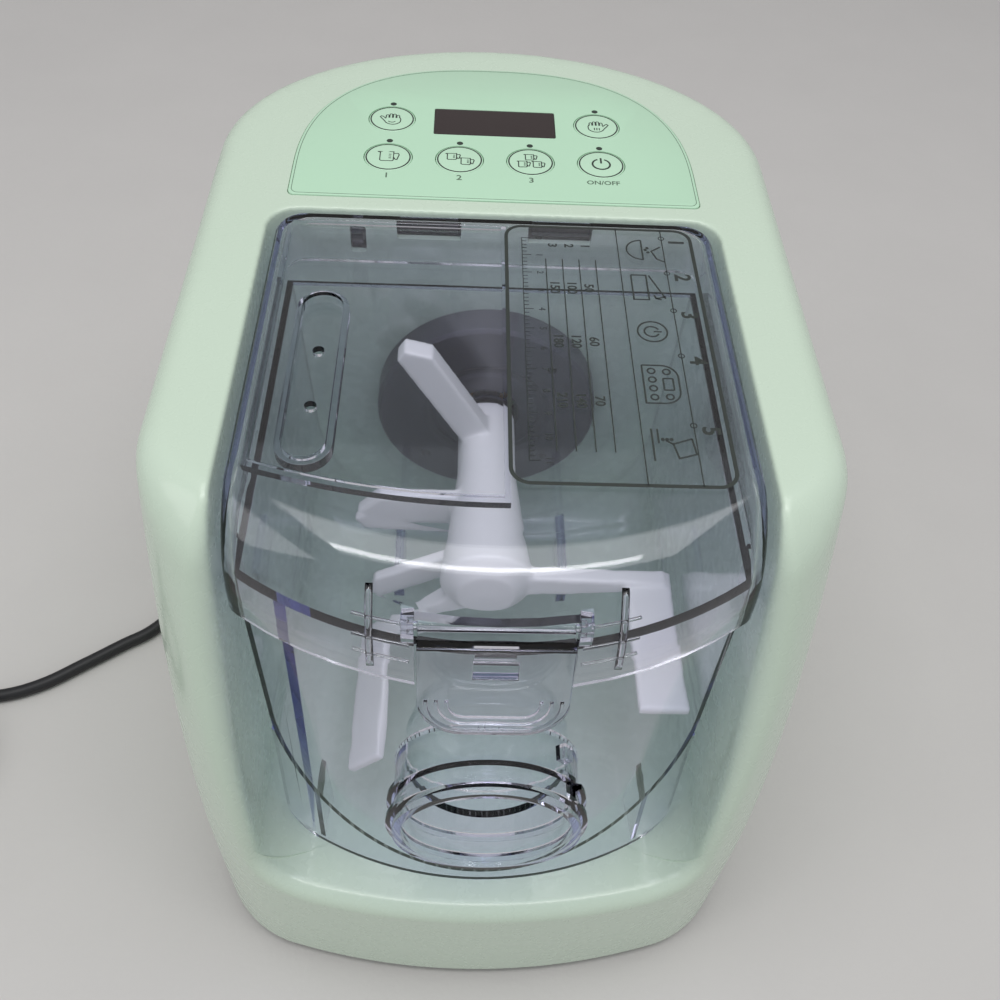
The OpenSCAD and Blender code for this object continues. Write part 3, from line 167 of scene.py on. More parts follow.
def curve_tube(name, points, diameter):
    """An open curve through the points with a round bevel. The bevel is 1 m and each point's
    radius scales it down to the lead's, because the curve's box counts the points' radius."""
    data = bpy.data.curves.new(name, "CURVE")
    data.dimensions = "3D"
    data.bevel_depth = 1.0
    data.bevel_resolution = 5
    data.use_fill_caps = True
    line = data.splines.new("BEZIER")
    line.bezier_points.add(len(points) - 1)
    line.bezier_points.foreach_set("co", np.asarray(points, float).ravel())
    line.bezier_points.foreach_set("radius", np.full(len(points), diameter / 2))
    for point in line.bezier_points:
        point.handle_left_type = point.handle_right_type = "AUTO"
    line.resolution_u = 6
    piece = bpy.data.objects.new(name, data)
    scene.collection.objects.link(piece)
    return piece


coil = coil_turns(COIL_CENTRE, TURNS, TURN_POINTS)
RUN_OFF = np.array([[-289, -38.4, 9.2], [-298, -40.2, 8.2], [-306, -41, 7.5]]) * MM
lead_line = np.vstack([ROUTE, coil, RUN_OFF])
lead = curve_tube("mains_lead", lead_line, CORD_D)

# %% Tie round the coil
TIE_ANGLE, TIE_W, TIE_T = math.radians(-60), 8.0 * MM, 0.9 * MM
TIE_IN, TIE_OUT, TIE_TOP = 28.3 * MM, 41.8 * MM, 13.3 * MM


def tie_band():
    """A flat strap round the turns: two nested rounded boxes in the plane through the coil's
    axis, each at both edges of the strap, joined into one closed ring."""
    a = np.linspace(0, 2 * math.pi, 48, endpoint=False)
    power = 0.35
    lines = []
    for inset, edge in ((0, -1), (0, 1), (TIE_T, 1), (TIE_T, -1)):
        half_r, half_z = (TIE_OUT - TIE_IN) / 2 - inset, TIE_TOP / 2 - inset
        r = (TIE_OUT + TIE_IN) / 2 + half_r * np.sign(np.cos(a)) * np.abs(np.cos(a)) ** power
        z = TIE_TOP / 2 + 0.0001 + half_z * np.sign(np.sin(a)) * np.abs(np.sin(a)) ** power
        t = edge * TIE_W / 2
        lines.append(np.column_stack([
            COIL_CENTRE[0] + r * math.cos(TIE_ANGLE) - t * math.sin(TIE_ANGLE),
            COIL_CENTRE[1] + r * math.sin(TIE_ANGLE) + t * math.cos(TIE_ANGLE), z]))
    return np.stack(lines, axis=1)


tie_grid = tie_band()
coil_tie = mesh_piece("coil_tie", tie_grid, grid_faces(len(tie_grid), 4, around=True, across=True))
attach(coil_tie, "machine")
print("tie round the coil: %d faces" % len(coil_tie.data.polygons))

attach(lead, "machine")
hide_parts("power_cord", "cord_coil")

# %% [markdown]
# ## Shader maths as plain expressions
#
# A finish is a few patterns added, multiplied and mixed. Written node by node that is hard to
# read, so one small class wraps a socket: arithmetic on it adds Math nodes, and every other node
# comes from one method.


# %% A socket that can be calculated with
class Shader:
    """A socket in a node tree. + - * / on it add Math nodes; node() adds any other node."""

    def __init__(self, tree, socket=None):
        self.tree, self.socket = tree, socket

    def node(self, kind, settings=None, inputs=None, out=0):
        """Adds a node: its settings first, then its sockets."""
        made = self.tree.nodes.new(kind)
        for name, value in (settings or {}).items():
            setattr(made, name, value)
        for name, value in (inputs or {}).items():
            if isinstance(value, Shader):
                self.tree.links.new(value.socket, made.inputs[name])
            else:
                made.inputs[name].default_value = value
        return Shader(self.tree, made.outputs[out])

    def _math(self, operation, first, second):
        return self.node("ShaderNodeMath", {"operation": operation}, {0: first, 1: second})

    def __add__(self, other):
        return self._math("ADD", self, other)

    def __sub__(self, other):
        return self._math("SUBTRACT", self, other)

    def __rsub__(self, other):
        return self._math("SUBTRACT", other, self)

    def __mul__(self, other):
        return self._math("MULTIPLY", self, other)

    def __truediv__(self, other):
        return self._math("DIVIDE", self, other)

    __radd__, __rmul__ = __add__, __mul__


print("shader maths ready")

# %% [markdown]
# ## Finishes
#
# Every finish starts from a colour in ordinary screen values, turned to linear light here. Slow
# noise changes the colour a little, as in a real moulding, a finer noise changes the gloss, and
# the finest one gives the orange peel that a moulded or painted face has up close.


# %% Helpers of the finishes
def linear(r, g, b):
    """Screen values from 0 to 255 as linear light: the standard curve of pale screens."""
    c = np.array([r, g, b]) / 255.0
    return tuple(np.where(c <= 0.04045, c / 12.92, ((c + 0.055) / 1.055) ** 2.4))


def new_material(name):
    """An empty material with its output; returns the material and a Shader on its tree."""
    made = bpy.data.materials.new(name)
    made.use_nodes = True
    made.node_tree.nodes.clear()
    return made, Shader(made.node_tree)


def finish_with(shader, surface, volume=None):
    """Links the last shader, and a volume if there is one, to the material's output."""
    links = {"Surface": surface}
    if volume is not None:
        links["Volume"] = volume
    output = shader.tree.nodes.new("ShaderNodeOutputMaterial")
    for name, value in links.items():
        shader.tree.links.new(value.socket, output.inputs[name])


def noise(shader, place, scale, detail=2.0, rough=0.5):
    """Noise from 0 to 1 about a middle of 0.5, its scale in waves to the metre."""
    return shader.node("ShaderNodeTexNoise", None,
                       {"Vector": place, "Scale": scale, "Detail": detail, "Roughness": rough})


def mix(shader, factor, a, b):
    """Colour a where the factor is 0, b where it is 1."""
    return shader.node("ShaderNodeMix", {"data_type": "RGBA"}, {0: factor, 6: a, 7: b}, out=2)


def rgba(colour):
    return (*colour, 1.0)


COLOUR_WAVES, GLOSS_WAVES, PEEL_WAVES, FLOW_WAVES = 14.0, 160.0, 320.0, 60.0
GLOSS_SPREAD = 0.10
CLEAR_ROUGH, CLEAR_IOR = 0.03, 1.5


def moulded(name, colour, rough=0.32, change=0.05, peel=0.02, metal=0.0, coat=0.0):
    """Moulded or cast finish: slow colour change, uneven gloss and a fine orange peel."""
    made, s = new_material(name)
    place = s.node("ShaderNodeTexCoord", out=3)
    slow = noise(s, place, COLOUR_WAVES, 3.0)
    fine = noise(s, place, GLOSS_WAVES, 2.0)
    grain = noise(s, place, PEEL_WAVES, 1.0)
    dark = rgba(tuple(c * (1 - change) for c in colour))
    light = rgba(tuple(min(1.0, c * (1 + change)) for c in colour))
    base = mix(s, slow, dark, light)
    bump = s.node("ShaderNodeBump", None, {"Strength": 1.0, "Distance": peel * MM, "Height": grain})
    surface = s.node("ShaderNodeBsdfPrincipled", None, {
        "Base Color": base, "Roughness": fine * GLOSS_SPREAD + (rough - GLOSS_SPREAD / 2), "Metallic": metal,
        "Coat Weight": coat, "Coat Roughness": 0.08, "Normal": bump})
    finish_with(s, surface)
    return made


def clear_plastic(name, tint, density):
    """Clear moulding: smooth glass with a faint colour that builds up along its edges. Lamps
    and scattered light pass it straight, so that what stands behind it is lit."""
    made, s = new_material(name)
    place = s.node("ShaderNodeTexCoord", out=3)
    flow = noise(s, place, FLOW_WAVES, 2.0)
    bump = s.node("ShaderNodeBump", None, {"Strength": 0.25, "Distance": 0.05 * MM, "Height": flow})
    glass = s.node("ShaderNodeBsdfPrincipled", None, {
        "Base Color": (1.0, 1.0, 1.0, 1.0), "Roughness": CLEAR_ROUGH, "IOR": CLEAR_IOR,
        "Transmission Weight": 1.0, "Normal": bump})
    through = s.node("ShaderNodeBsdfTransparent", None, {"Color": (0.93, 0.94, 0.96, 1.0)})
    lamp_ray = s.node("ShaderNodeLightPath", out=1)
    scattered_ray = s.node("ShaderNodeLightPath", out=2)
    surface = s.node("ShaderNodeMixShader", None, {
        0: s.node("ShaderNodeMath", {"operation": "MAXIMUM"}, {0: lamp_ray, 1: scattered_ray}),
        1: glass, 2: through})
    inside = s.node("ShaderNodeVolumeAbsorption", None, {"Color": rgba(tint), "Density": density})
    finish_with(s, surface, inside)
    return made


print("helpers of the finishes ready")

# %% The finishes
MINT = linear(203, 220, 201)
PANEL_MINT = linear(190, 226, 197)
finish = {
    "housing": moulded("housing_mint", MINT, rough=0.27, change=0.02, peel=0.004, coat=0.25),
    "cover": moulded("cover_mint", linear(206, 222, 204), rough=0.25, change=0.02, peel=0.004,
                     coat=0.25),
    "panel": moulded("panel_mint", PANEL_MINT, rough=0.22, change=0.015, peel=0.003, coat=0.3),
    "key": moulded("key_mint", linear(194, 228, 200), rough=0.24, change=0.015, peel=0.003,
                   coat=0.25),
    "ink": moulded("ink_dark", linear(46, 52, 48), rough=0.5, peel=0.002),
    "ink_soft": moulded("ink_grey_green", linear(92, 112, 94), rough=0.5, peel=0.002),
    "base": moulded("base_mint", linear(190, 207, 188), rough=0.45, change=0.04),
    "foot_rubber": moulded("foot_rubber", linear(52, 52, 54), rough=0.75, peel=0.05),
    "steel": moulded("bright_steel", linear(190, 191, 194), rough=0.28, metal=1.0, peel=0.01),
    "display": moulded("display_black", linear(38, 24, 24), rough=0.16, coat=0.6, peel=0.004),
    "lamp": moulded("key_lamp", linear(48, 58, 52), rough=0.3),
    "board": moulded("board_green", linear(52, 112, 68), rough=0.4),
    "disc": moulded("disc_grey", linear(78, 78, 83), rough=0.42, change=0.10, peel=0.03),
    "case": moulded("case_plastic", linear(214, 214, 208), rough=0.45),
    "bronze": moulded("bush_bronze", linear(178, 138, 84), rough=0.35, metal=1.0),
    "gear": moulded("gear_plastic", linear(236, 233, 222), rough=0.4),
    "motor": moulded("motor_zinc", linear(168, 171, 176), rough=0.36, metal=1.0),
    "copper": moulded("stator_copper", linear(158, 96, 62), rough=0.4, metal=0.6, change=0.15),
    "brass": moulded("pinion_brass", linear(206, 176, 104), rough=0.3, metal=1.0),
    "fan": moulded("fan_black", linear(50, 50, 54), rough=0.5),
    "clear": clear_plastic("clear_tub", linear(138, 138, 236), 20.0),
    "clear_lid": clear_plastic("clear_lid", linear(130, 132, 232), 24.0),
    "seal": moulded("seal_rubber", linear(64, 64, 68), rough=0.7),
    "paddle": moulded("paddle_white", linear(238, 237, 238), rough=0.38, change=0.02, peel=0.02),
    "cord": moulded("cord_black", linear(28, 28, 30), rough=0.5, peel=0.03),
    "plug": moulded("plug_black", linear(32, 32, 34), rough=0.55, peel=0.05),
}
print("finishes:", len(finish))

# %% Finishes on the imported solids
FINISH_NODES = {
    "housing": "housing_shell side_cover_left side_cover_right",
    "base": "base_plate",
    "foot_rubber": "rubber_feet",
    "steel": "base_screws gearcase_screws idler_pin drive_shaft",
    "panel": "control_panel key_knead key_extrude key_one key_two key_three key_power",
    "display": "display_window",
    "lamp": "key_lamps",
    "board": "control_board power_board",
    "disc": "drive_disc",
    "case": "gearcase gearcase_cover",
    "bronze": "bush_front bush_rear",
    "gear": "output_gear idler_gear",
    "motor": "motor_can motor_rotor",
    "copper": "motor_stator",
    "brass": "motor_pinion",
    "fan": "cooling_fan lid_switch",
    "clear": "mixing_tub tub_front_wall outlet_collar",
    "seal": "tub_seal",
    "clear_lid": "lid lid_latch",
    "paddle": "mixing_paddle",
    "plug": "strain_relief power_plug",
}
NODE_FINISH = {name: kind for kind, names in FINISH_NODES.items() for name in names.split()}
for name, kind in NODE_FINISH.items():
    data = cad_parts[name].data
    data.materials.clear()
    data.materials.append(finish[kind])
lead.data.materials.append(finish["cord"])
coil_tie.data.materials.append(finish["plug"])
print("finished nodes:", len(NODE_FINISH))

# %% [markdown]
# ## Floor and light
#
# The machine stands on a plain pale floor that runs up into a backdrop. A wide lamp overhead
# gives the long soft highlights along the rolls and the lid, a weaker one fills from the left,
# and the world lights the rest evenly.

# %% Floor and backdrop
FLOOR_COLOUR = linear(206, 203, 200)
FLOOR_HALF = 3.0
SWEEP_R = 0.8


def sweep_sheet(half, back, radius):
    """A floor that curves up behind: straight, then a quarter circle, then upright."""
    turn = np.linspace(0, math.pi / 2, 17)
    y = np.concatenate([[-half], back + radius * np.sin(turn), [back + radius]])
    z = np.concatenate([[0.0], radius * (1 - np.cos(turn)), [2.5]])
    line = np.column_stack([np.zeros_like(y), y, z])
    grid = np.stack([line + [-half, 0, 0], line + [half, 0, 0]])
    return grid


floor_grid = sweep_sheet(FLOOR_HALF, 1.2, SWEEP_R)
floor = mesh_piece("floor", floor_grid, grid_faces(2, floor_grid.shape[1])[:, ::-1],
                   material=moulded("floor_pale", FLOOR_COLOUR, rough=0.75, change=0.03, peel=0.1))
print("floor points:", floor_grid.shape[0] * floor_grid.shape[1])


# %% Lamps and world
def area_lamp(name, place, aim, size, watts):
    """A rectangular lamp at place that looks at aim: its -Z runs along the way between them."""
    data = bpy.data.lights.new(name, "AREA")
    data.shape = "RECTANGLE"
    data.size, data.size_y = size
    data.energy = watts
    lamp = bpy.data.objects.new(name, data)
    scene.collection.objects.link(lamp)
    back = np.array(place, float) - np.array(aim, float)
    back /= np.linalg.norm(back)
    side = np.cross([0.0, 1.0, 0.0], back)
    side /= np.linalg.norm(side)
    turned = np.eye(4)
    turned[:3, :3] = np.column_stack([side, np.cross(back, side), back])
    turned[:3, 3] = place
    lamp.matrix_world = Matrix(turned)
    return lamp


area_lamp("lamp_overhead", (0.10, -0.10, 1.50), (0.0, 0.0, 0.15), (1.5, 0.8), 7.0)
area_lamp("lamp_strip", (0.0, -0.35, 1.45), (0.0, 0.0, 0.2), (1.2, 0.10), 2.6)
area_lamp("lamp_left", (-1.3, -0.5, 1.1), (0.0, 0.0, 0.15), (0.8, 0.8), 2.5)
world = bpy.data.worlds.new("world")
scene.world = world
world.use_nodes = True
world.node_tree.nodes["Background"].inputs["Color"].default_value = rgba(linear(232, 234, 238))
world.node_tree.nodes["Background"].inputs["Strength"].default_value = 0.62
scene.view_settings.view_transform = "Standard"
print("lamps ready")

# %% [markdown]
# ## Tools for meshes
#
# Holes, slots and windows are cut as a machinist would: a closed cutter takes its volume away
# with an exact boolean. Small things of one height, such as a panel or a printed line, are
# outlines carried upwards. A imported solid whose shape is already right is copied, its loose
# triangles are joined, and its edges get the small radius that every moulding has.


# %% Outlines and prisms
def circle(x, y, r, n=96):
    """Points of a circle."""
    a = np.linspace(0, 2 * math.pi, n, endpoint=False)
    return np.column_stack([x + r * np.cos(a), y + r * np.sin(a)])


def rounded_box(x0, y0, x1, y1, r, n=9):
    """A rectangle whose corners are quarter circles."""
    a = np.linspace(0, math.pi / 2, n)
    corners = [(x1 - r, y1 - r, 0), (x0 + r, y1 - r, 1), (x0 + r, y0 + r, 2), (x1 - r, y0 + r, 3)]
    return np.vstack([np.column_stack([x + r * np.cos(a + k * math.pi / 2),
                                       y + r * np.sin(a + k * math.pi / 2)])
                      for x, y, k in corners])


def extrusion(outline, low, high, axis="z"):
    """A closed prism: an outline across the axis, carried from low to high along it."""
    outline = np.asarray(outline, float)
    n = len(outline)
    rings = [np.column_stack([outline, np.full(n, level)]) for level in (low, high)]
    points = np.vstack(rings)
    points = {"z": points, "y": points[:, [0, 2, 1]], "x": points[:, [2, 0, 1]]}[axis]
    k = np.arange(n)
    sides = np.column_stack([k, (k + 1) % n, (k + 1) % n + n, k + n])
    return points, [k[::-1].tolist(), (k + n).tolist(), *sides.tolist()]


def solid(name, parts, material=None, smooth=False):
    """One object from closed parts, each a pair of points in mm and faces; outsides outwards."""
    points, faces, first = [], [], 0
    for part_points, part_faces in parts:
        points.append(part_points)
        faces += [[first + int(k) for k in face] for face in part_faces]
        first += len(part_points)
    piece = mesh_piece(name, np.vstack(points) * MM, faces, smooth=smooth, material=material)
    tidy_mesh(piece)
    return piece


def tidy_mesh(piece, merge=0.001 * MM, outwards=True, flat=None):
    """Joins doubled points, can join triangles of one plane, and turns the faces outwards."""
    work = bmesh.new()
    work.from_mesh(piece.data)
    bmesh.ops.remove_doubles(work, verts=work.verts, dist=merge)
    if flat is not None:
        bmesh.ops.dissolve_limit(work, angle_limit=math.radians(flat), verts=work.verts,
                                 edges=work.edges)
    if outwards:
        bmesh.ops.recalc_face_normals(work, faces=work.faces)
    work.to_mesh(piece.data)
    work.free()


# %% Modifiers that are put into the mesh
def apply_modifiers(piece):
    """Puts the evaluated mesh in the place of the piece's own, and drops its modifiers."""
    bpy.context.view_layer.update()
    result = bpy.data.meshes.new_from_object(
        piece.evaluated_get(bpy.context.evaluated_depsgraph_get()))
    old = piece.data
    piece.modifiers.clear()
    piece.data = result
    bpy.data.meshes.remove(old)
    result.name = piece.name


def boolean(piece, other, way="DIFFERENCE"):
    """Cuts another object out of the piece, or adds it, and deletes the other object."""
    step = piece.modifiers.new("boolean", "BOOLEAN")
    step.operation, step.solver, step.object = way, "EXACT", other
    apply_modifiers(piece)
    bpy.data.meshes.remove(other.data)


def cut(piece, parts):
    """Cuts closed parts out of the piece."""
    boolean(piece, solid("cutter", parts))


def shade(piece, degrees=32.0):
    """Smooth shading, with a crisp line wherever two faces turn by more than the angle."""
    piece.data.polygons.foreach_set("use_smooth", np.ones(len(piece.data.polygons), bool))
    piece.data.set_sharp_from_angle(angle=math.radians(degrees))


def soften(piece, width, degrees=32.0, steps=2):
    """Rounds every edge sharper than the angle with a small radius, in mm."""
    step = piece.modifiers.new("edges", "BEVEL")
    step.width, step.segments = width * MM, steps
    step.limit_method, step.angle_limit = "ANGLE", math.radians(degrees)
    step.use_clamp_overlap = True
    apply_modifiers(piece)
    shade(piece, degrees)
    weigh_normals(piece)


def weigh_normals(piece):
    """Lets the largest face at each corner decide the shading, so that flat faces look flat."""
    step = piece.modifiers.new("normals", "WEIGHTED_NORMAL")
    step.keep_sharp = True
    step.weight = 100
    apply_modifiers(piece)


def copy_of(name, node, kind):
    """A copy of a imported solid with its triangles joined, in the finish of that name."""
    piece = bpy.data.objects.new(name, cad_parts[node].data.copy())
    scene.collection.objects.link(piece)
    tidy_mesh(piece, outwards=False, flat=0.4)
    piece.data.materials.clear()
    piece.data.materials.append(finish[kind])
    return piece


def place(piece, body, slot, *nodes):
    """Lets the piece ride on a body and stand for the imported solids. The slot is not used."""
    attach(piece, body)
    if nodes:
        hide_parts(*nodes)
    print("%s: %d faces on %s" % (piece.name, len(piece.data.polygons), body))


def box_mm(node):
    """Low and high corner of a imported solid, in mm."""
    return [np.array(corner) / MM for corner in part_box(node)]


def revolved(name, profile, centre, turns=96, material=None):
    """A closed body of revolution: radius and height pairs, from the axis back to the axis."""
    profile = np.asarray(profile, float)
    a = np.linspace(0, 2 * math.pi, turns, endpoint=False)
    r, h = profile[:, 0][:, None], profile[:, 1][:, None]
    grid = np.stack([r * np.cos(a), r * np.sin(a), h + 0 * a], axis=-1)
    grid = grid + np.asarray(centre, float)
    piece = mesh_piece(name, grid * MM, grid_faces(len(profile), turns, around=True),
                       material=material)
    tidy_mesh(piece, merge=0.0005 * MM)
    return piece


print("mesh tools ready")

# %% [markdown]
# ## The housing
#
# On the real machine this is one moulding: walls, deck and the open bay are a single skin of
# 2.6 mm. Its edges are not sharp anywhere. The edge of the bay is soft in front, where a hand
# reaches in, and crisp along the lid. A modeller could draw such a skin from patches, but each
# rounding would need its own. Here the shape is one function of a point: negative inside the
# plastic, zero on its surface. Two forms are cut with a rounded maximum, which leaves a fillet
# of a wanted radius where they meet. The surface is then walked along upright half-planes that
# fan out from the middle of the bay, and every walk is one column of the grid.

# %% Driving sizes of the housing
shell_low, shell_high = box_mm("housing_shell")
disc_low, disc_high = box_mm("drive_disc")
HALF_W, FRONT, BACK, TOP, FOOT = (shell_high[0], shell_low[1], shell_high[1], shell_high[2],
                                  shell_low[2])
BAY_BACK = disc_high[1]
DRIVE_Z = (disc_low[2] + disc_high[2]) / 2
WALL = 2.6
BOW_R, CORNER_R, BACK_ROUND = 290.0, 46.0, 84.0
LEAN_R, LEAN_Z = 450.0, 60.0
BAY_HALF, BAY_FLOOR, BAY_CORNER, BAY_BACK_R, BAY_DRAFT = 83.0, 71.5, 20.0, 11.0, 1.0
DECK_R, FRONT_ROLL, FOOT_R = 10.0, 20.0, 2.2
ARM_FLARE, FLARE_D = 7.0, 62.0
print("housing: width %.0f, depth %.0f, top %.0f" % (2 * HALF_W, BACK - FRONT, TOP))


# %% The housing as one function
def ramp(value, start, end):
    """0 before start, 1 after end, and a smooth S between them; start may be the larger."""
    t = np.clip((value - start) / (end - start), 0, 1)
    return t * t * (3 - 2 * t)


def round_max(a, b, radius):
    """The larger of two distances, with a quarter circle of that radius where they are equal."""
    inside = np.minimum(np.maximum(a + radius, b + radius), 0)
    return inside + np.hypot(np.maximum(a + radius, 0), np.maximum(b + radius, 0)) - radius


def plan_distance(x, y):
    """Distance to the housing's outline: a bowed front, two corner circles that touch it and
    the straight sides, and half an ellipse at the back, whose value over slope stands in."""
    ex, by = HALF_W - CORNER_R, FRONT + BOW_R
    cy = by - math.sqrt((BOW_R - CORNER_R) ** 2 - ex ** 2)
    side = np.abs(x)
    ey = BACK - BACK_ROUND
    on_bow = side * (by - cy) < ex * (by - y)
    front = np.where(on_bow, np.hypot(side, y - by) - BOW_R, np.hypot(side - ex, y - cy) - CORNER_R)
    u, v = side / HALF_W, np.maximum(y - ey, 0) / BACK_ROUND
    slope = 2 * np.hypot(u / HALF_W, v / BACK_ROUND) + 1e-9
    back = (u * u + v * v - 1) / slope
    return np.where(y < cy, front, np.where(y > ey, back, side - HALF_W))


def lean_back(z):
    """How far the front face has leaned back at height z: an arc that starts upright."""
    return LEAN_R - np.sqrt(LEAN_R ** 2 - np.maximum(z - LEAN_Z, 0) ** 2)


def outer_form(x, y, z):
    """The housing without its bay: outline and deck rounded together, and a rounded foot."""
    plan = plan_distance(x, np.where(y < 0, y - lean_back(z), y))
    radius = DECK_R + (FRONT_ROLL - DECK_R) * ramp(y, -85, -125)
    return round_max(round_max(plan, z - TOP, radius), FOOT - z, FOOT_R)


def bay_distance(x, y, z):
    """The bay: two side walls that open upwards and flare in front, a back wall and a floor."""
    flare = ARM_FLARE * ramp(y, FRONT + FLARE_D, FRONT) * np.clip((z - 91) / (TOP - 91), 0, 1)
    half = BAY_HALF + BAY_DRAFT * (z - BAY_FLOOR) / (TOP - BAY_FLOOR) + flare
    walls = round_max(np.abs(x) - half, y - BAY_BACK, BAY_BACK_R)
    return round_max(walls, BAY_FLOOR - z, BAY_CORNER)


def edge_radius(y, z):
    """Radius of the bay's edge: crisp along the lid, soft in front, softest high on the arms."""
    return 1.4 + (5.2 + 5.5 * ramp(z, 90, 215)) * ramp(y, -98, -132)


def housing_form(x, y, z):
    """Outer form less the bay, with the rounded edge between them."""
    return round_max(outer_form(x, y, z), -bay_distance(x, y, z), edge_radius(y, z))


# %% Walk the surface along half-planes
def plane_value(form, start_y, way):
    """The form as a function of the distance from the middle and the height, per half-plane."""
    return lambda r, h: form(r * way[:, 0], start_y + r * way[:, 1], h)


def to_zero(value, r, h, times, small=0.01):
    """Moves points onto the surface inside their half-planes: value over slope, a few times."""
    for _ in range(times):
        slope_r = (value(r + small, h) - value(r - small, h)) / (2 * small)
        slope_h = (value(r, h + small) - value(r, h - small)) / (2 * small)
        shift = value(r, h) / np.maximum(slope_r ** 2 + slope_h ** 2, 1e-6)
        r, h = r - shift * slope_r, h - shift * slope_h
    return r, h, slope_r, slope_h


def walk_columns(form, start_y, way, start_z, end_z, step=0.5, most=1500):
    """Follows form = 0 in all half-planes at once. Each step goes along the level line, at a
    right angle to the slope, and then back onto zero."""
    n = len(start_y)
    value = plane_value(form, start_y, way)
    r, h, slope_r, slope_h = to_zero(value, np.full(n, 1e-3), np.full(n, float(start_z)), 1)
    path = [np.stack([r, h])]
    for _ in range(most):
        going = h > end_z
        if not going.any():
            break
        size = np.hypot(slope_r, slope_h)
        next_r, next_h, slope_r, slope_h = to_zero(
            value, r + step * slope_h / size, h - step * slope_r / size, 2)
        r, h = np.where(going, next_r, r), np.where(going, next_h, h)
        path.append(np.stack([r, h]))
    return np.array(path)


def even_rows(path, start_y, way, rows_in, rows_out, bend_weight):
    """The same number of points on each walk, in two stretches: inside the bay and outside it.
    They meet on the ridge line, where both forms are equally far away. A stretch is even along
    its length and closer where it turns, so that a fillet gets as many rows as it needs."""
    x, y, z = path[:, 0] * way[:, 0], start_y + path[:, 0] * way[:, 1], path[:, 1]
    outside = outer_form(x, y, z) + bay_distance(x, y, z) > 0
    columns = []
    for k, line in enumerate(np.moveaxis(path, 2, 0)):
        gap = np.hypot(*np.diff(line, axis=0).T)
        line = line[:np.count_nonzero(gap > 1e-6) + 1]
        gap = np.hypot(*np.diff(line, axis=0).T)
        angle = np.unwrap(np.arctan2(np.diff(line[:, 1]), np.diff(line[:, 0])))
        turn = np.convolve(np.abs(np.gradient(angle)), np.ones(7) / 7, mode="same")
        weight = np.concatenate([[0], np.cumsum(gap + bend_weight * turn)])
        ridge = weight[np.argmax(outside[:, k])]
        at = np.concatenate([np.linspace(0, ridge, rows_in, endpoint=False),
                             np.linspace(ridge, weight[-1], rows_out)])
        columns.append([np.interp(at, weight, line[:, 0]), np.interp(at, weight, line[:, 1])])
    return np.array(columns)


SPINE_FRONT, SPINE_BACK = -110.0, -20.0
ROWS_IN, ROWS_OUT = 46, 62
back_turn = np.radians(np.linspace(90, 0, 56)[:-1])
side_y = np.linspace(SPINE_BACK, SPINE_FRONT, 34)[:-1]
front_turn = -np.radians(np.concatenate([
    np.linspace(0, 8, 14)[:-1], np.linspace(8, 30, 62)[:-1], np.linspace(30, 90, 40)]))
half_turn = np.concatenate([back_turn, np.zeros(len(side_y)), front_turn])
start_y = np.concatenate([np.full(len(back_turn), SPINE_BACK), side_y,
                          np.full(len(front_turn), SPINE_FRONT)])
way = np.column_stack([np.cos(half_turn), np.sin(half_turn)])
path = walk_columns(housing_form, start_y, way, BAY_FLOOR, FOOT + 0.05)
rho, height = even_rows(path, start_y, way, ROWS_IN, ROWS_OUT, 18.0).transpose(1, 2, 0)
value = plane_value(housing_form, start_y, way)
inner_rho, inner_height, _, _ = to_zero(value, rho[1:-1], height[1:-1], 3)
rho[1:-1], height[1:-1] = inner_rho, inner_height
half_skin = np.stack([rho * way[:, 0], start_y + rho * way[:, 1], height], axis=-1)
half_skin = half_skin.transpose(1, 0, 2)
half_skin[:, 0, 0] = 0.0
mirrored = half_skin[-2:0:-1] * [-1, 1, 1]
skin = np.concatenate([half_skin, mirrored])
print("housing skin:", skin.shape, "steps", len(path))


# %% From skin to shell
def closed_shell(piece, thickness, merge=0.01 * MM):
    """Merges doubled points and thickens a skin whose faces look outwards towards its inside."""
    work = bmesh.new()
    work.from_mesh(piece.data)
    bmesh.ops.remove_doubles(work, verts=work.verts, dist=merge)
    bmesh.ops.dissolve_degenerate(work, edges=work.edges, dist=merge / 10)
    work.to_mesh(piece.data)
    work.free()
    thick = piece.modifiers.new("wall", "SOLIDIFY")
    thick.thickness = thickness
    thick.offset = -1.0
    thick.use_even_offset = True
    thick.thickness_clamp = 0.0
    apply_modifiers(piece)


skin_faces = grid_faces(skin.shape[0], skin.shape[1], across=True)[:, ::-1]
housing = mesh_piece("housing", skin * MM, skin_faces, material=finish["housing"])
closed_shell(housing, WALL * MM)
print("housing faces:", len(housing.data.polygons))

# %% Seat of the panel, holes for keys, windows and outlet
KEY_NODES = ("key_knead", "key_extrude", "key_one", "key_two", "key_three", "key_power")
KEY_R, KEY_GAP = 9.4, 0.3
PANEL_HALF, PANEL_T, PANEL_PROUD, PANEL_POWER, PANEL_SHOULDER = 78.7, 1.8, 0.4, 2.5, 18.0
key_places = {}
for node in KEY_NODES:
    low, high = box_mm(node)
    key_places[node] = (low[:2] + high[:2]) / 2
panel_low, panel_high = box_mm("control_panel")
screen_low, screen_high = box_mm("display_window")


def panel_outline(inset, steps=72):
    """A straight front edge with small corners, and a superellipse round the back."""
    front, back = panel_low[1], panel_high[1]
    middle = front + PANEL_SHOULDER
    half = PANEL_HALF - inset
    turn = np.linspace(-math.radians(72), 0, 9)
    corner = np.column_stack([half - 3 + 3 * np.cos(turn), front + inset + 3 + 3 * np.sin(turn)])
    a = (1 - np.cos(np.linspace(0, math.pi, steps))) * math.pi / 4
    round_back = np.column_stack([
        half * np.cos(a) ** (2 / PANEL_POWER),
        middle + (back - middle - inset) * np.sin(a) ** (2 / PANEL_POWER)])
    right = np.vstack([[[0.0, front + inset]], corner, round_back])
    return np.vstack([right, right[-2:0:-1] * [-1, 1]])


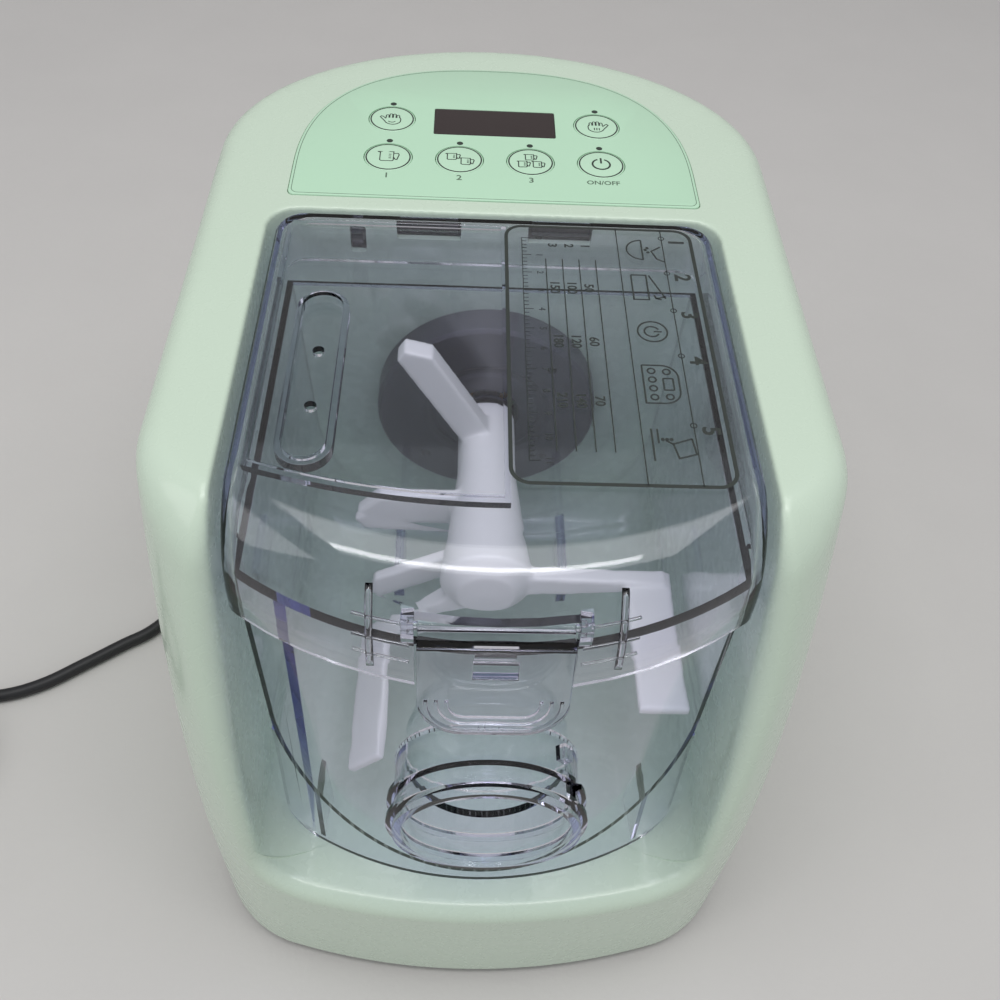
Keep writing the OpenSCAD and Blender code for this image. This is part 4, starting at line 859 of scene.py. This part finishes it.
TAB_X, TAB_W, TAB_Z = 25.0, 24.4, (231.5, 242.7)
TONGUE_X, TONGUE_Z = (-55.0, -49.0), (224.8, 238.8)
OUTLET_X, OUTLET_Z, OUTLET_R = -45.0, 28.0, 5.75
VENT_Z, VENT_PITCH, VENTS = 54.0, 8.0, 7
cut(housing, [extrusion(panel_outline(-0.3), TOP - PANEL_T + PANEL_PROUD, TOP + 3)])
through = [extrusion(circle(*centre, KEY_R + KEY_GAP), TOP - 8, TOP + 2)
           for centre in key_places.values()]
through.append(extrusion(rounded_box(screen_low[0] + 2, screen_low[1] + 2, screen_high[0] - 2,
                                     screen_high[1] - 2, 0.5, 3), TOP - 8, TOP + 2))
for side in (-1, 1):
    x = side * TAB_X
    through.append(extrusion(rounded_box(x - TAB_W / 2, TAB_Z[0], x + TAB_W / 2, TAB_Z[1] - 0.8,
                                         0.8, 4), BAY_BACK - 2, BAY_BACK + WALL + 2, "y"))
through.append(extrusion(rounded_box(TONGUE_X[0], TONGUE_Z[0], TONGUE_X[1], TONGUE_Z[1], 0.8, 4),
                         BAY_BACK - 2, BAY_BACK + WALL + 2, "y"))
through.append(extrusion(circle(0, DRIVE_Z, 13.0), BAY_BACK - 2, BAY_BACK + WALL + 2, "y"))
through.append(extrusion(circle(OUTLET_X, OUTLET_Z, OUTLET_R, 48), BACK - 24, BACK + 5, "y"))
through += [extrusion(rounded_box(-24, z - 1.5, 24, z + 1.5, 1.45, 5), BACK - 12, BACK + 8, "y")
            for z in VENT_Z + VENT_PITCH * (np.arange(VENTS) - (VENTS - 1) / 2)]
cut(housing, through)
shade(housing, 38.0)
place(housing, "machine", "housing", "housing_shell")

# %% [markdown]
# ## The side covers
#
# Each side carries a raised cover, a long panel with round corners that follows the wall. On the
# real machine it is a separate moulding that clips on. It could be cut from a thicker copy of the
# housing. A polar grid is lighter: rings run from the cover's edge to its middle, and every point
# is pushed out onto the wall and then by the cover's thickness, which rolls off at the edge.

# %% Side covers
COVER_PROUD, COVER_ROLL, COVER_R = 2.0, 2.2, 30.0
cover_low, cover_high = box_mm("side_cover_right")


def wall_x(y, z):
    """Half-width of the outer form at y and z, found by a few steps of value over slope."""
    x = np.full(np.shape(y), HALF_W - 1.0)
    for _ in range(8):
        slope = (outer_form(x + 0.05, y, z) - outer_form(x - 0.05, y, z)) / 0.1
        x = x - outer_form(x, y, z) / slope
    return x


def side_cover(name, side):
    """A polar grid: ring s and turn t give a place inside the rounded rectangle, and the height
    over the wall is a quarter circle of the distance from the edge, flat after the roll."""
    y0, y1, z0, z1 = cover_low[1], cover_high[1], cover_low[2], cover_high[2]
    edge = rounded_box(y0, z0, y1, z1, COVER_R, 17)
    stretched = np.vstack([edge, edge[:1]])
    run = np.concatenate([[0], np.cumsum(np.hypot(*np.diff(stretched, axis=0).T))])
    at = np.linspace(0, run[-1], 160, endpoint=False)
    edge = np.column_stack([np.interp(at, run, stretched[:, k]) for k in (0, 1)])
    middle = np.array([(y0 + y1) / 2, (z0 + z1) / 2])
    reach = (z1 - z0) / 2
    depth = np.concatenate([COVER_ROLL * (1 - np.cos(np.linspace(0, math.pi / 2, 8))),
                            np.linspace(COVER_ROLL, reach, 12)[1:]])
    s = (1 - depth / reach)[:, None, None]
    spot = middle + (edge - middle) * s
    rise = COVER_PROUD * np.sqrt(1 - np.clip(1 - depth / COVER_ROLL, 0, 1) ** 2)
    y, z = spot[..., 0], spot[..., 1]
    foot = wall_x(y, z)
    outer = np.stack([side * (foot + rise[:, None]), y, z], axis=-1)
    inner = np.stack([side * (foot - 0.1), y, z], axis=-1)
    grid = np.concatenate([inner[::-1], outer])
    piece = mesh_piece(name, grid * MM, grid_faces(len(grid), grid.shape[1], around=True),
                       material=finish["cover"])
    tidy_mesh(piece, merge=0.005 * MM)
    shade(piece, 50.0)
    return piece


for name, side in (("side_cover_left", -1), ("side_cover_right", 1)):
    place(side_cover(name + "_skin", side), "machine", "cover", name)


# %% [markdown]
# ## The control panel
#
# A thin green sheet lies in a shallow seat of the deck. Its front edge is straight and its back
# follows a superellipse, which is fuller than an ellipse and softer than a rounded box. Six round
# caps stand in it, each with a printed ring and a plain sign, and a smoked window covers the
# display.

# %% Panel sheet
edge_steps = [(0.0, TOP - PANEL_T + PANEL_PROUD), (0.0, TOP + PANEL_PROUD - 0.25),
              (0.08, TOP + PANEL_PROUD - 0.07), (0.25, TOP + PANEL_PROUD)]
rings = np.array([np.column_stack([panel_outline(inset), np.full(len(panel_outline(0)), z)])
                  for inset, z in edge_steps])
panel_faces = grid_faces(len(rings), rings.shape[1], around=True).tolist()
last = (len(rings) - 1) * rings.shape[1]
panel_faces += [list(range(rings.shape[1]))[::-1], list(range(last, last + rings.shape[1]))]
panel = solid("panel_sheet", [(rings.reshape(-1, 3), panel_faces)], finish["panel"])
holes = [extrusion(circle(*centre, KEY_R + KEY_GAP), TOP - 3, TOP + 3)
         for centre in key_places.values()]
LAMP_OUT, LAMP_R = 2.2, 1.3
holes += [extrusion(circle(x, y + KEY_R + LAMP_OUT, LAMP_R, 32), TOP - 3, TOP + 3)
          for x, y in key_places.values()]
holes.append(extrusion(rounded_box(screen_low[0] - 0.2, screen_low[1] - 0.2, screen_high[0] + 0.2,
                                   screen_high[1] + 0.2, 0.8, 5), TOP - 3, TOP + 3))
cut(panel, holes)
shade(panel, 40.0)
place(panel, "machine", "panel", "control_panel")

# %% Display window
screen = solid("display_cover", [extrusion(rounded_box(
    screen_low[0], screen_low[1], screen_high[0], screen_high[1], 0.7, 5),
    screen_low[2], screen_high[2])], finish["display"])
soften(screen, 0.2)
place(screen, "machine", "display", "display_window")


# %% Key caps
def crown(r):
    """Height of a key's top over the panel: a shallow parabola."""
    return 0.35 * (1 - (r / (KEY_R - 0.6)) ** 2)


for node, centre in key_places.items():
    low, high = box_mm(node)
    r = np.linspace(0, KEY_R - 0.6, 10)
    bend = np.linspace(0, math.pi / 2, 5)
    top = TOP + PANEL_PROUD
    profile = np.vstack([
        [[0, low[2]], [2.5, low[2]], [2.5, TOP - WALL], [KEY_R, TOP - WALL]],
        np.column_stack([KEY_R - 0.6 + 0.6 * np.cos(bend), top - 0.3 + 0.3 * np.sin(bend)]),
        np.column_stack([r, top + crown(r)])[::-1][1:]])
    cap = revolved(node + "_cap", profile, (*centre, 0.0), material=finish["key"])
    shade(cap, 45.0)
    place(cap, node + "_cap", "key", node)

# %% [markdown]
# ## Printed lines
#
# Prints are real thin slabs, a few hundredths of a millimetre high, as a thick screen print is.
# A drawn line gets its width by shifting its points sideways, at a right angle to the way it
# goes. The signs are plain pictures and the figures are a plain count.


# %% Ink
INK_T = 0.04


def stroke(points, width, height, closed=False):
    """A closed slab along a line: each point goes to both sides by half the width, along the
    mean of the two neighbouring directions turned by a right angle, longer where it bends."""
    points = np.asarray(points, float)
    ahead = (np.roll(points, -1, 0) if closed else np.vstack([points[1:], points[-1:]])) - points
    behind = points - (np.roll(points, 1, 0) if closed else np.vstack([points[:1], points[:-1]]))
    ahead /= np.maximum(np.linalg.norm(ahead, axis=1), 1e-9)[:, None]
    behind /= np.maximum(np.linalg.norm(behind, axis=1), 1e-9)[:, None]
    along = ahead + behind
    along /= np.maximum(np.linalg.norm(along, axis=1), 1e-9)[:, None]
    across = np.column_stack([-along[:, 1], along[:, 0]])
    full = np.maximum(np.linalg.norm(ahead, axis=1), np.linalg.norm(behind, axis=1))
    bend = np.where(full > 0, np.abs((ahead * along).sum(1)), 1)
    bend = np.where(bend < 0.5, 1, bend)
    shift = across * (width / 2 / bend)[:, None]
    sides = [points + shift, points - shift]
    corners = [np.column_stack([p, height(p[:, 0], p[:, 1]) + lift])
               for lift in (-INK_T, INK_T) for p in (sides if lift < 0 else sides[::-1])]
    grid = np.stack(corners)
    faces = grid_faces(len(points), 4, around=True, across=closed).tolist()
    if not closed:
        end = 4 * (len(points) - 1)
        faces += [[0, 1, 2, 3], [end + 3, end + 2, end + 1, end]]
    return grid.transpose(1, 0, 2).reshape(-1, 3), faces


def arc_line(x, y, r, start, end, n=24):
    """Points of an arc, its angles in degrees."""
    a = np.radians(np.linspace(start, end, n))
    return np.column_stack([x + r * np.cos(a), y + r * np.sin(a)])


def text_part(body, size, place_at, turn, height, bold=0.0):
    """A plain figure from the built-in font, made a mesh, turned and set down at its place."""
    curve = bpy.data.curves.new("figure", "FONT")
    curve.body, curve.size, curve.align_x, curve.align_y = body, size, "CENTER", "CENTER"
    curve.extrude, curve.offset, curve.resolution_u = INK_T, bold, 3
    holder = bpy.data.objects.new("figure", curve)
    scene.collection.objects.link(holder)
    bpy.context.view_layer.update()
    data = bpy.data.meshes.new_from_object(
        holder.evaluated_get(bpy.context.evaluated_depsgraph_get()))
    flat = np.empty(len(data.vertices) * 3)
    data.vertices.foreach_get("co", flat)
    flat = flat.reshape(-1, 3)
    faces = [list(face.vertices) for face in data.polygons]
    bpy.data.objects.remove(holder)
    bpy.data.curves.remove(curve)
    bpy.data.meshes.remove(data)
    c, s = math.cos(math.radians(turn)), math.sin(math.radians(turn))
    x = place_at[0] + c * flat[:, 0] - s * flat[:, 1]
    y = place_at[1] + s * flat[:, 0] + c * flat[:, 1]
    return np.column_stack([x, y, height(x, y) + flat[:, 2]]), faces


print("ink ready")


# %% Signs of the keys
def cup_sign(x, y, size):
    """A measuring cup from the side: a body that narrows, a handle and three marks."""
    body = np.array([[-0.62, 0.5], [-0.45, 0.42], [-0.45, -0.42], [-0.36, -0.5], [0.30, -0.5],
                     [0.38, -0.42], [0.38, 0.5], [-0.62, 0.5]])
    handle = np.array([[0.38, 0.30], [0.66, 0.34], [0.72, 0.2], [0.60, -0.34], [0.50, -0.34],
                       [0.38, -0.1]])
    marks = [np.array([[0.08, h], [0.24, h]]) for h in (-0.2, 0.0, 0.2)]
    return [(line * size + [x, y]) for line in [body, handle] + marks]


def hand_sign(side):
    """A hand from above: a palm, four fingers side by side and a thumb, mirrored by side."""
    lines = [arc_line(0.3, -1.2, 3.4, 200, 340)]
    for k in range(4):
        x = -1.9 + 1.45 * k
        lift = [1.9, 2.7, 2.6, 1.8][k]
        lines.append(np.vstack([[[x - 0.55, 0.2]], arc_line(x, lift, 0.55, 180, 0, 9),
                                [[x + 0.55, 0.2]]]))
    lines.append(np.array([[-2.9, -2.3], [-4.0, -0.6], [-4.9, 0.9], [-4.4, 1.6], [-3.6, 1.1],
                           [-2.5, -0.4]]))
    lines.append(np.array([[3.5, -2.3], [3.6, -0.6], [3.1, 0.8]]))
    return [line * [side, 1.0] for line in lines]


SIGNS = {
    "key_knead": hand_sign(1) + [arc_line(0, -1.4, 1.7, 215, 325, 9)],
    "key_extrude": hand_sign(-1) + [np.array([[x, -3.2], [x, -1.6]]) for x in (-1, 0, 1)],
    "key_one": cup_sign(-0.3, 0, 6.4),
    "key_two": cup_sign(-2.9, 1.5, 4.4) + cup_sign(2.6, -1.6, 4.4),
    "key_three": cup_sign(-0.2, 2.9, 4.0) + cup_sign(-3.0, -2.0, 4.0) + cup_sign(2.8, -2.0, 4.0),
    "key_power": [arc_line(0, -0.2, 3.5, 112, 428, 40), np.array([[0, 0.3], [0, 4.2]])],
}
for node, lines in SIGNS.items():
    centre = key_places[node]
    over_key = lambda x, y: TOP + PANEL_PROUD + crown(np.hypot(x - centre[0], y - centre[1]))
    weight = 0.75 if node == "key_power" else 0.42
    parts = [stroke(line + centre, weight, over_key) for line in lines]
    parts.append(stroke(circle(*centre, KEY_R - 0.75, 72), 0.55, over_key, closed=True))
    place(solid(node + "_sign", parts, finish["ink"]), node + "_cap", "key")

# %% Figures on the panel
on_panel = lambda x, y: TOP + PANEL_PROUD + 0 * x
FIGURE_DROP = 12.8
figures = {"key_one": "1", "key_two": "2", "key_three": "3", "key_power": "ON/OFF"}
parts = [text_part(body, 4.6 if len(body) == 1 else 3.6, key_places[node] - [0, FIGURE_DROP], 0,
                   on_panel, bold=0.06)
         for node, body in figures.items()]
outline = panel_outline(1.1)
parts.append(stroke(outline, 0.22, on_panel, closed=True))
place(solid("panel_print", parts, finish["ink_soft"]), "machine", "panel")

# %% [markdown]
# ## The clear lid
#
# The lid is the piece that the eye looks through, so its two faces must be clean: one closed
# solid, with the small radius along each edge that catches the lamp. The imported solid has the
# right form, with its tray, slot, lip and tabs. A copy of it is joined and softened. Three fine
# ridges on the lip and two upright posts are added, and a chart is printed on the right half.

# %% Lid and latch
LID_FRONT, LID_BOW, LID_NOSE = -145.4, 134.0, 30.0
lid = copy_of("clear_lid_skin", "lid", "clear_lid")
soften(lid, 0.35)
place(lid, "lid_body", "clear_lid", "lid")
latch = copy_of("latch_pad", "lid_latch", "clear_lid")
soften(latch, 0.3)
place(latch, "latch", "clear_lid", "lid_latch")


# %% Ridges and posts on the lip
def lip_y(x, z):
    """Front face of the lid at x and z: the bow of its plan, set back by the bullnose."""
    back = LID_NOSE - np.sqrt(np.maximum(LID_NOSE ** 2 - np.maximum(z - TOP + LID_NOSE, 0) ** 2, 0))
    return LID_FRONT + back + LID_BOW - np.sqrt(LID_BOW ** 2 - x ** 2)


def ridge(z, x0, x1, radius=0.55, n=40):
    """A round bead along the lip at one height: a circle carried along the bow."""
    x = np.linspace(x0, x1, n)
    line = np.column_stack([x, lip_y(x, z), np.full(n, z)])
    ahead = np.gradient(line, axis=0)
    ahead /= np.linalg.norm(ahead, axis=1)[:, None]
    out = np.cross(ahead, [0, 0, 1.0])
    a = np.linspace(0, 2 * math.pi, 8, endpoint=False)
    grid = (line[:, None] + radius * (np.cos(a)[None, :, None] * out[:, None]
                                      + np.sin(a)[None, :, None] * np.array([0, 0, 1.0])))
    faces = grid_faces(n, 8, around=True).tolist()
    faces += [list(range(8)), list(range(8 * n - 8, 8 * n))[::-1]]
    return grid.reshape(-1, 3), faces


def post(x, z0=214.0, z1=238.0, half=1.1, n=14):
    """An upright bar on the lip: a narrow strip whose face follows the bullnose."""
    z = np.linspace(z0, z1, n)
    points = np.stack([np.column_stack([np.full(n, x + side * half), lip_y(x, z) + depth, z])
                       for side, depth in ((-1, 0.6), (-1, -1.0), (1, -1.0), (1, 0.6))])
    faces = grid_faces(n, 4, around=True).tolist()
    faces += [[0, 1, 2, 3], [4 * n - 1, 4 * n - 2, 4 * n - 3, 4 * n - 4]]
    return points.transpose(1, 0, 2).reshape(-1, 3), faces


beads = [ridge(z, side * 24.6, side * 41.0) for z in (219.0, 225.0, 231.0) for side in (-1, 1)]
beads += [post(side * 36.0) for side in (-1, 1)]
place(solid("lip_beads", beads, finish["clear_lid"], smooth=True), "lid_body", "clear_lid")

# %% Chart printed on the lid
CHART = (3.8, -97.0, 72.0, 29.0)
STEP_LINE, PICTURE_LINE = 61.3, 44.6
STEPS_Y = (22.0, 1.5, -19.0, -42.0, -74.0)
TABLE_X, TABLE_Y = (38.5, 32.5, 26.5, 20.5), (18.0, -6.0, -34.0, -62.0)
on_lid = lambda x, y: TOP + 0 * x
lines = [(rounded_box(*CHART, 6.0), 1.3, True)]
lines += [(np.array([[x, CHART[1]], [x, CHART[3]]]), 0.42, False) for x in (STEP_LINE, PICTURE_LINE)]
lines += [(circle(STEP_LINE, y + 2.2, 1.0, 20), 0.4, True) for y in STEPS_Y]
lines += [(np.array([[x - 2.6, -84.0], [x - 2.6, 10.0]]), 0.42, False) for x in TABLE_X]
ruler = np.arange(-88, 23, 2.0)
lines.append((np.array([[9.5, -88.0], [9.5, 22.0]]), 0.3, False))
lines += [(np.array([[9.5, y], [12.8 if k % 5 == 0 else 11.2, y]]), 0.3, False)
          for k, y in enumerate(ruler)]
parts = [stroke(line, width, on_lid, closed) for line, width, closed in lines]
parts += [text_part(str(k + 1), 8.0, (66.4, y), -90, on_lid, bold=0.2)
          for k, y in enumerate(STEPS_Y)]
TABLE = (("1", "50", "60", "70"), ("2", "100", "120", "140"), ("3", "150", "180", "210"))
parts += [text_part(figure, 4.6, (x, y), -90, on_lid, bold=0.1)
          for x, row in zip(TABLE_X[1:], TABLE) for y, figure in zip(TABLE_Y, row)]
parts += [text_part(str(k), 3.4, (15.6, y), -90, on_lid) for k, y in enumerate(ruler[::-5])]


# %% Pictures of the five steps
PICTURE_X = 52.8


def picture(lines, y, scale):
    """Lines drawn about their own middle, turned so that they read from the right-hand side."""
    return [(np.column_stack([PICTURE_X + line[:, 1] * scale, y - line[:, 0] * scale]), closed)
            for line, closed in lines]


bowl = [(np.vstack([arc_line(0, 0.5, 4.2, 180, 360, 14), [[-4.2, 0.5]]]), False),
        (np.array([[-1.5, 5.6], [0.5, 3.0], [3.8, 4.2], [5.0, 6.2]]), False),
        *[(circle(x, h, 0.25, 8), True) for x, h in ((0.0, 1.4), (1.0, 2.1), (-0.8, 2.0))]]
lid_down = [(np.array([[-5, -3.5], [5, -3.5], [5, 0.5], [-5, 0.5], [-5, -3.5]]), False),
            (np.array([[-5, 1.2], [4.4, 4.8]]), False),
            (arc_line(-4.0, 1.0, 8.5, 8, 28, 8), False),
            (np.array([[3.0, 1.9], [4.4, 2.3], [4.9, 3.7]]), False)]
switch_on = [(circle(0, 0, 4.6, 40), True), (arc_line(0, -0.2, 2.3, 115, 425, 24), False),
             (np.array([[0, 0.4], [0, 2.9]]), False)]
keypad = [(np.vstack([[[-6.5, -4.0], [6.5, -4.0]], arc_line(2.5, 0.6, 4.0, 0, 90, 8),
                      arc_line(-2.5, 0.6, 4.0, 90, 180, 8), [[-6.5, -4.0]]]), False),
          (rounded_box(-2.0, 0.8, 2.0, 3.2, 0.3, 3), True),
          *[(circle(x, -1.8, 0.9, 12), True) for x in (-4.5, -1.5, 1.5, 4.5)],
          *[(circle(x, 1.9, 0.9, 12), True) for x in (-4.3, 4.3)]]
jug = [(np.array([[-2.6, 5.4], [2.2, 5.9], [3.6, 1.8], [-0.8, 0.9], [-2.6, 5.4]]), False),
       (np.array([[-0.8, 0.9], [-1.8, -0.6]]), False),
       (np.array([[-5.5, -3.8], [4.5, -3.8]]), False), (np.array([[-5.5, -2.4], [-1.0, -2.4]]), False),
       *[(circle(-2.2, h, 0.25, 8), True) for h in (-1.4, -0.4, 0.6)]]
for drawing, y in zip((bowl, lid_down, switch_on, keypad, jug), (17.0, -4.5, -28.0, -53.5, -81.0)):
    scale = 1.35 if drawing is not switch_on else 1.1
    parts += [stroke(line, 0.62, on_lid, closed) for line, closed in picture(drawing, y, scale)]
place(solid("lid_chart", parts, finish["ink"]), "lid_body", "clear_lid")

# %% [markdown]
# ## The clear tub
#
# The trough, its front wall and the outlet collar are one moulding on the real machine, so the
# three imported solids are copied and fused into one. Left apart, each would show its own faces
# inside the other, because clear plastic hides nothing. The edges are softened last.

# %% Tub
tub = copy_of("clear_tub_skin", "mixing_tub", "clear")
boolean(tub, copy_of("front_copy", "tub_front_wall", "clear"), "UNION")
boolean(tub, copy_of("collar_copy", "outlet_collar", "clear"), "UNION")
tidy_mesh(tub, merge=0.01 * MM, outwards=False, flat=0.4)
soften(tub, 0.3)
place(tub, "tub", "clear_plastic", "mixing_tub", "tub_front_wall", "outlet_collar")

# %% [markdown]
# ## The paddle and the drive disc
#
# The paddle is one white moulding: arms and scraper plates grow out of a flared hub with fillets.
# Boolean edges are sharp, so the copy is rebuilt from small cubes, which closes it into one skin,
# and then smoothed, which rounds every corner a little and fills the inner ones.

# %% Paddle
paddle = copy_of("paddle_skin", "mixing_paddle", "paddle")
voxels = paddle.modifiers.new("voxels", "REMESH")
voxels.mode, voxels.voxel_size = "VOXEL", 0.9 * MM
rounded = paddle.modifiers.new("rounded", "SMOOTH")
rounded.factor, rounded.iterations = 0.5, 8
apply_modifiers(paddle)
shade(paddle, 60.0)
place(paddle, "paddle", "paddle_plastic", "mixing_paddle")

# %% Small mouldings with softened edges
for name, node, kind, body, slot, width in (
        ("disc_skin", "drive_disc", "disc", "machine", "disc", 0.4),
        ("feet_skin", "rubber_feet", "foot_rubber", "machine", "foot_rubber", 0.4),
        ("base_skin", "base_plate", "base", "machine", "base", 0.3)):
    piece = copy_of(name, node, kind)
    soften(piece, width)
    place(piece, body, slot, node)

# %% The end
print("scene built")
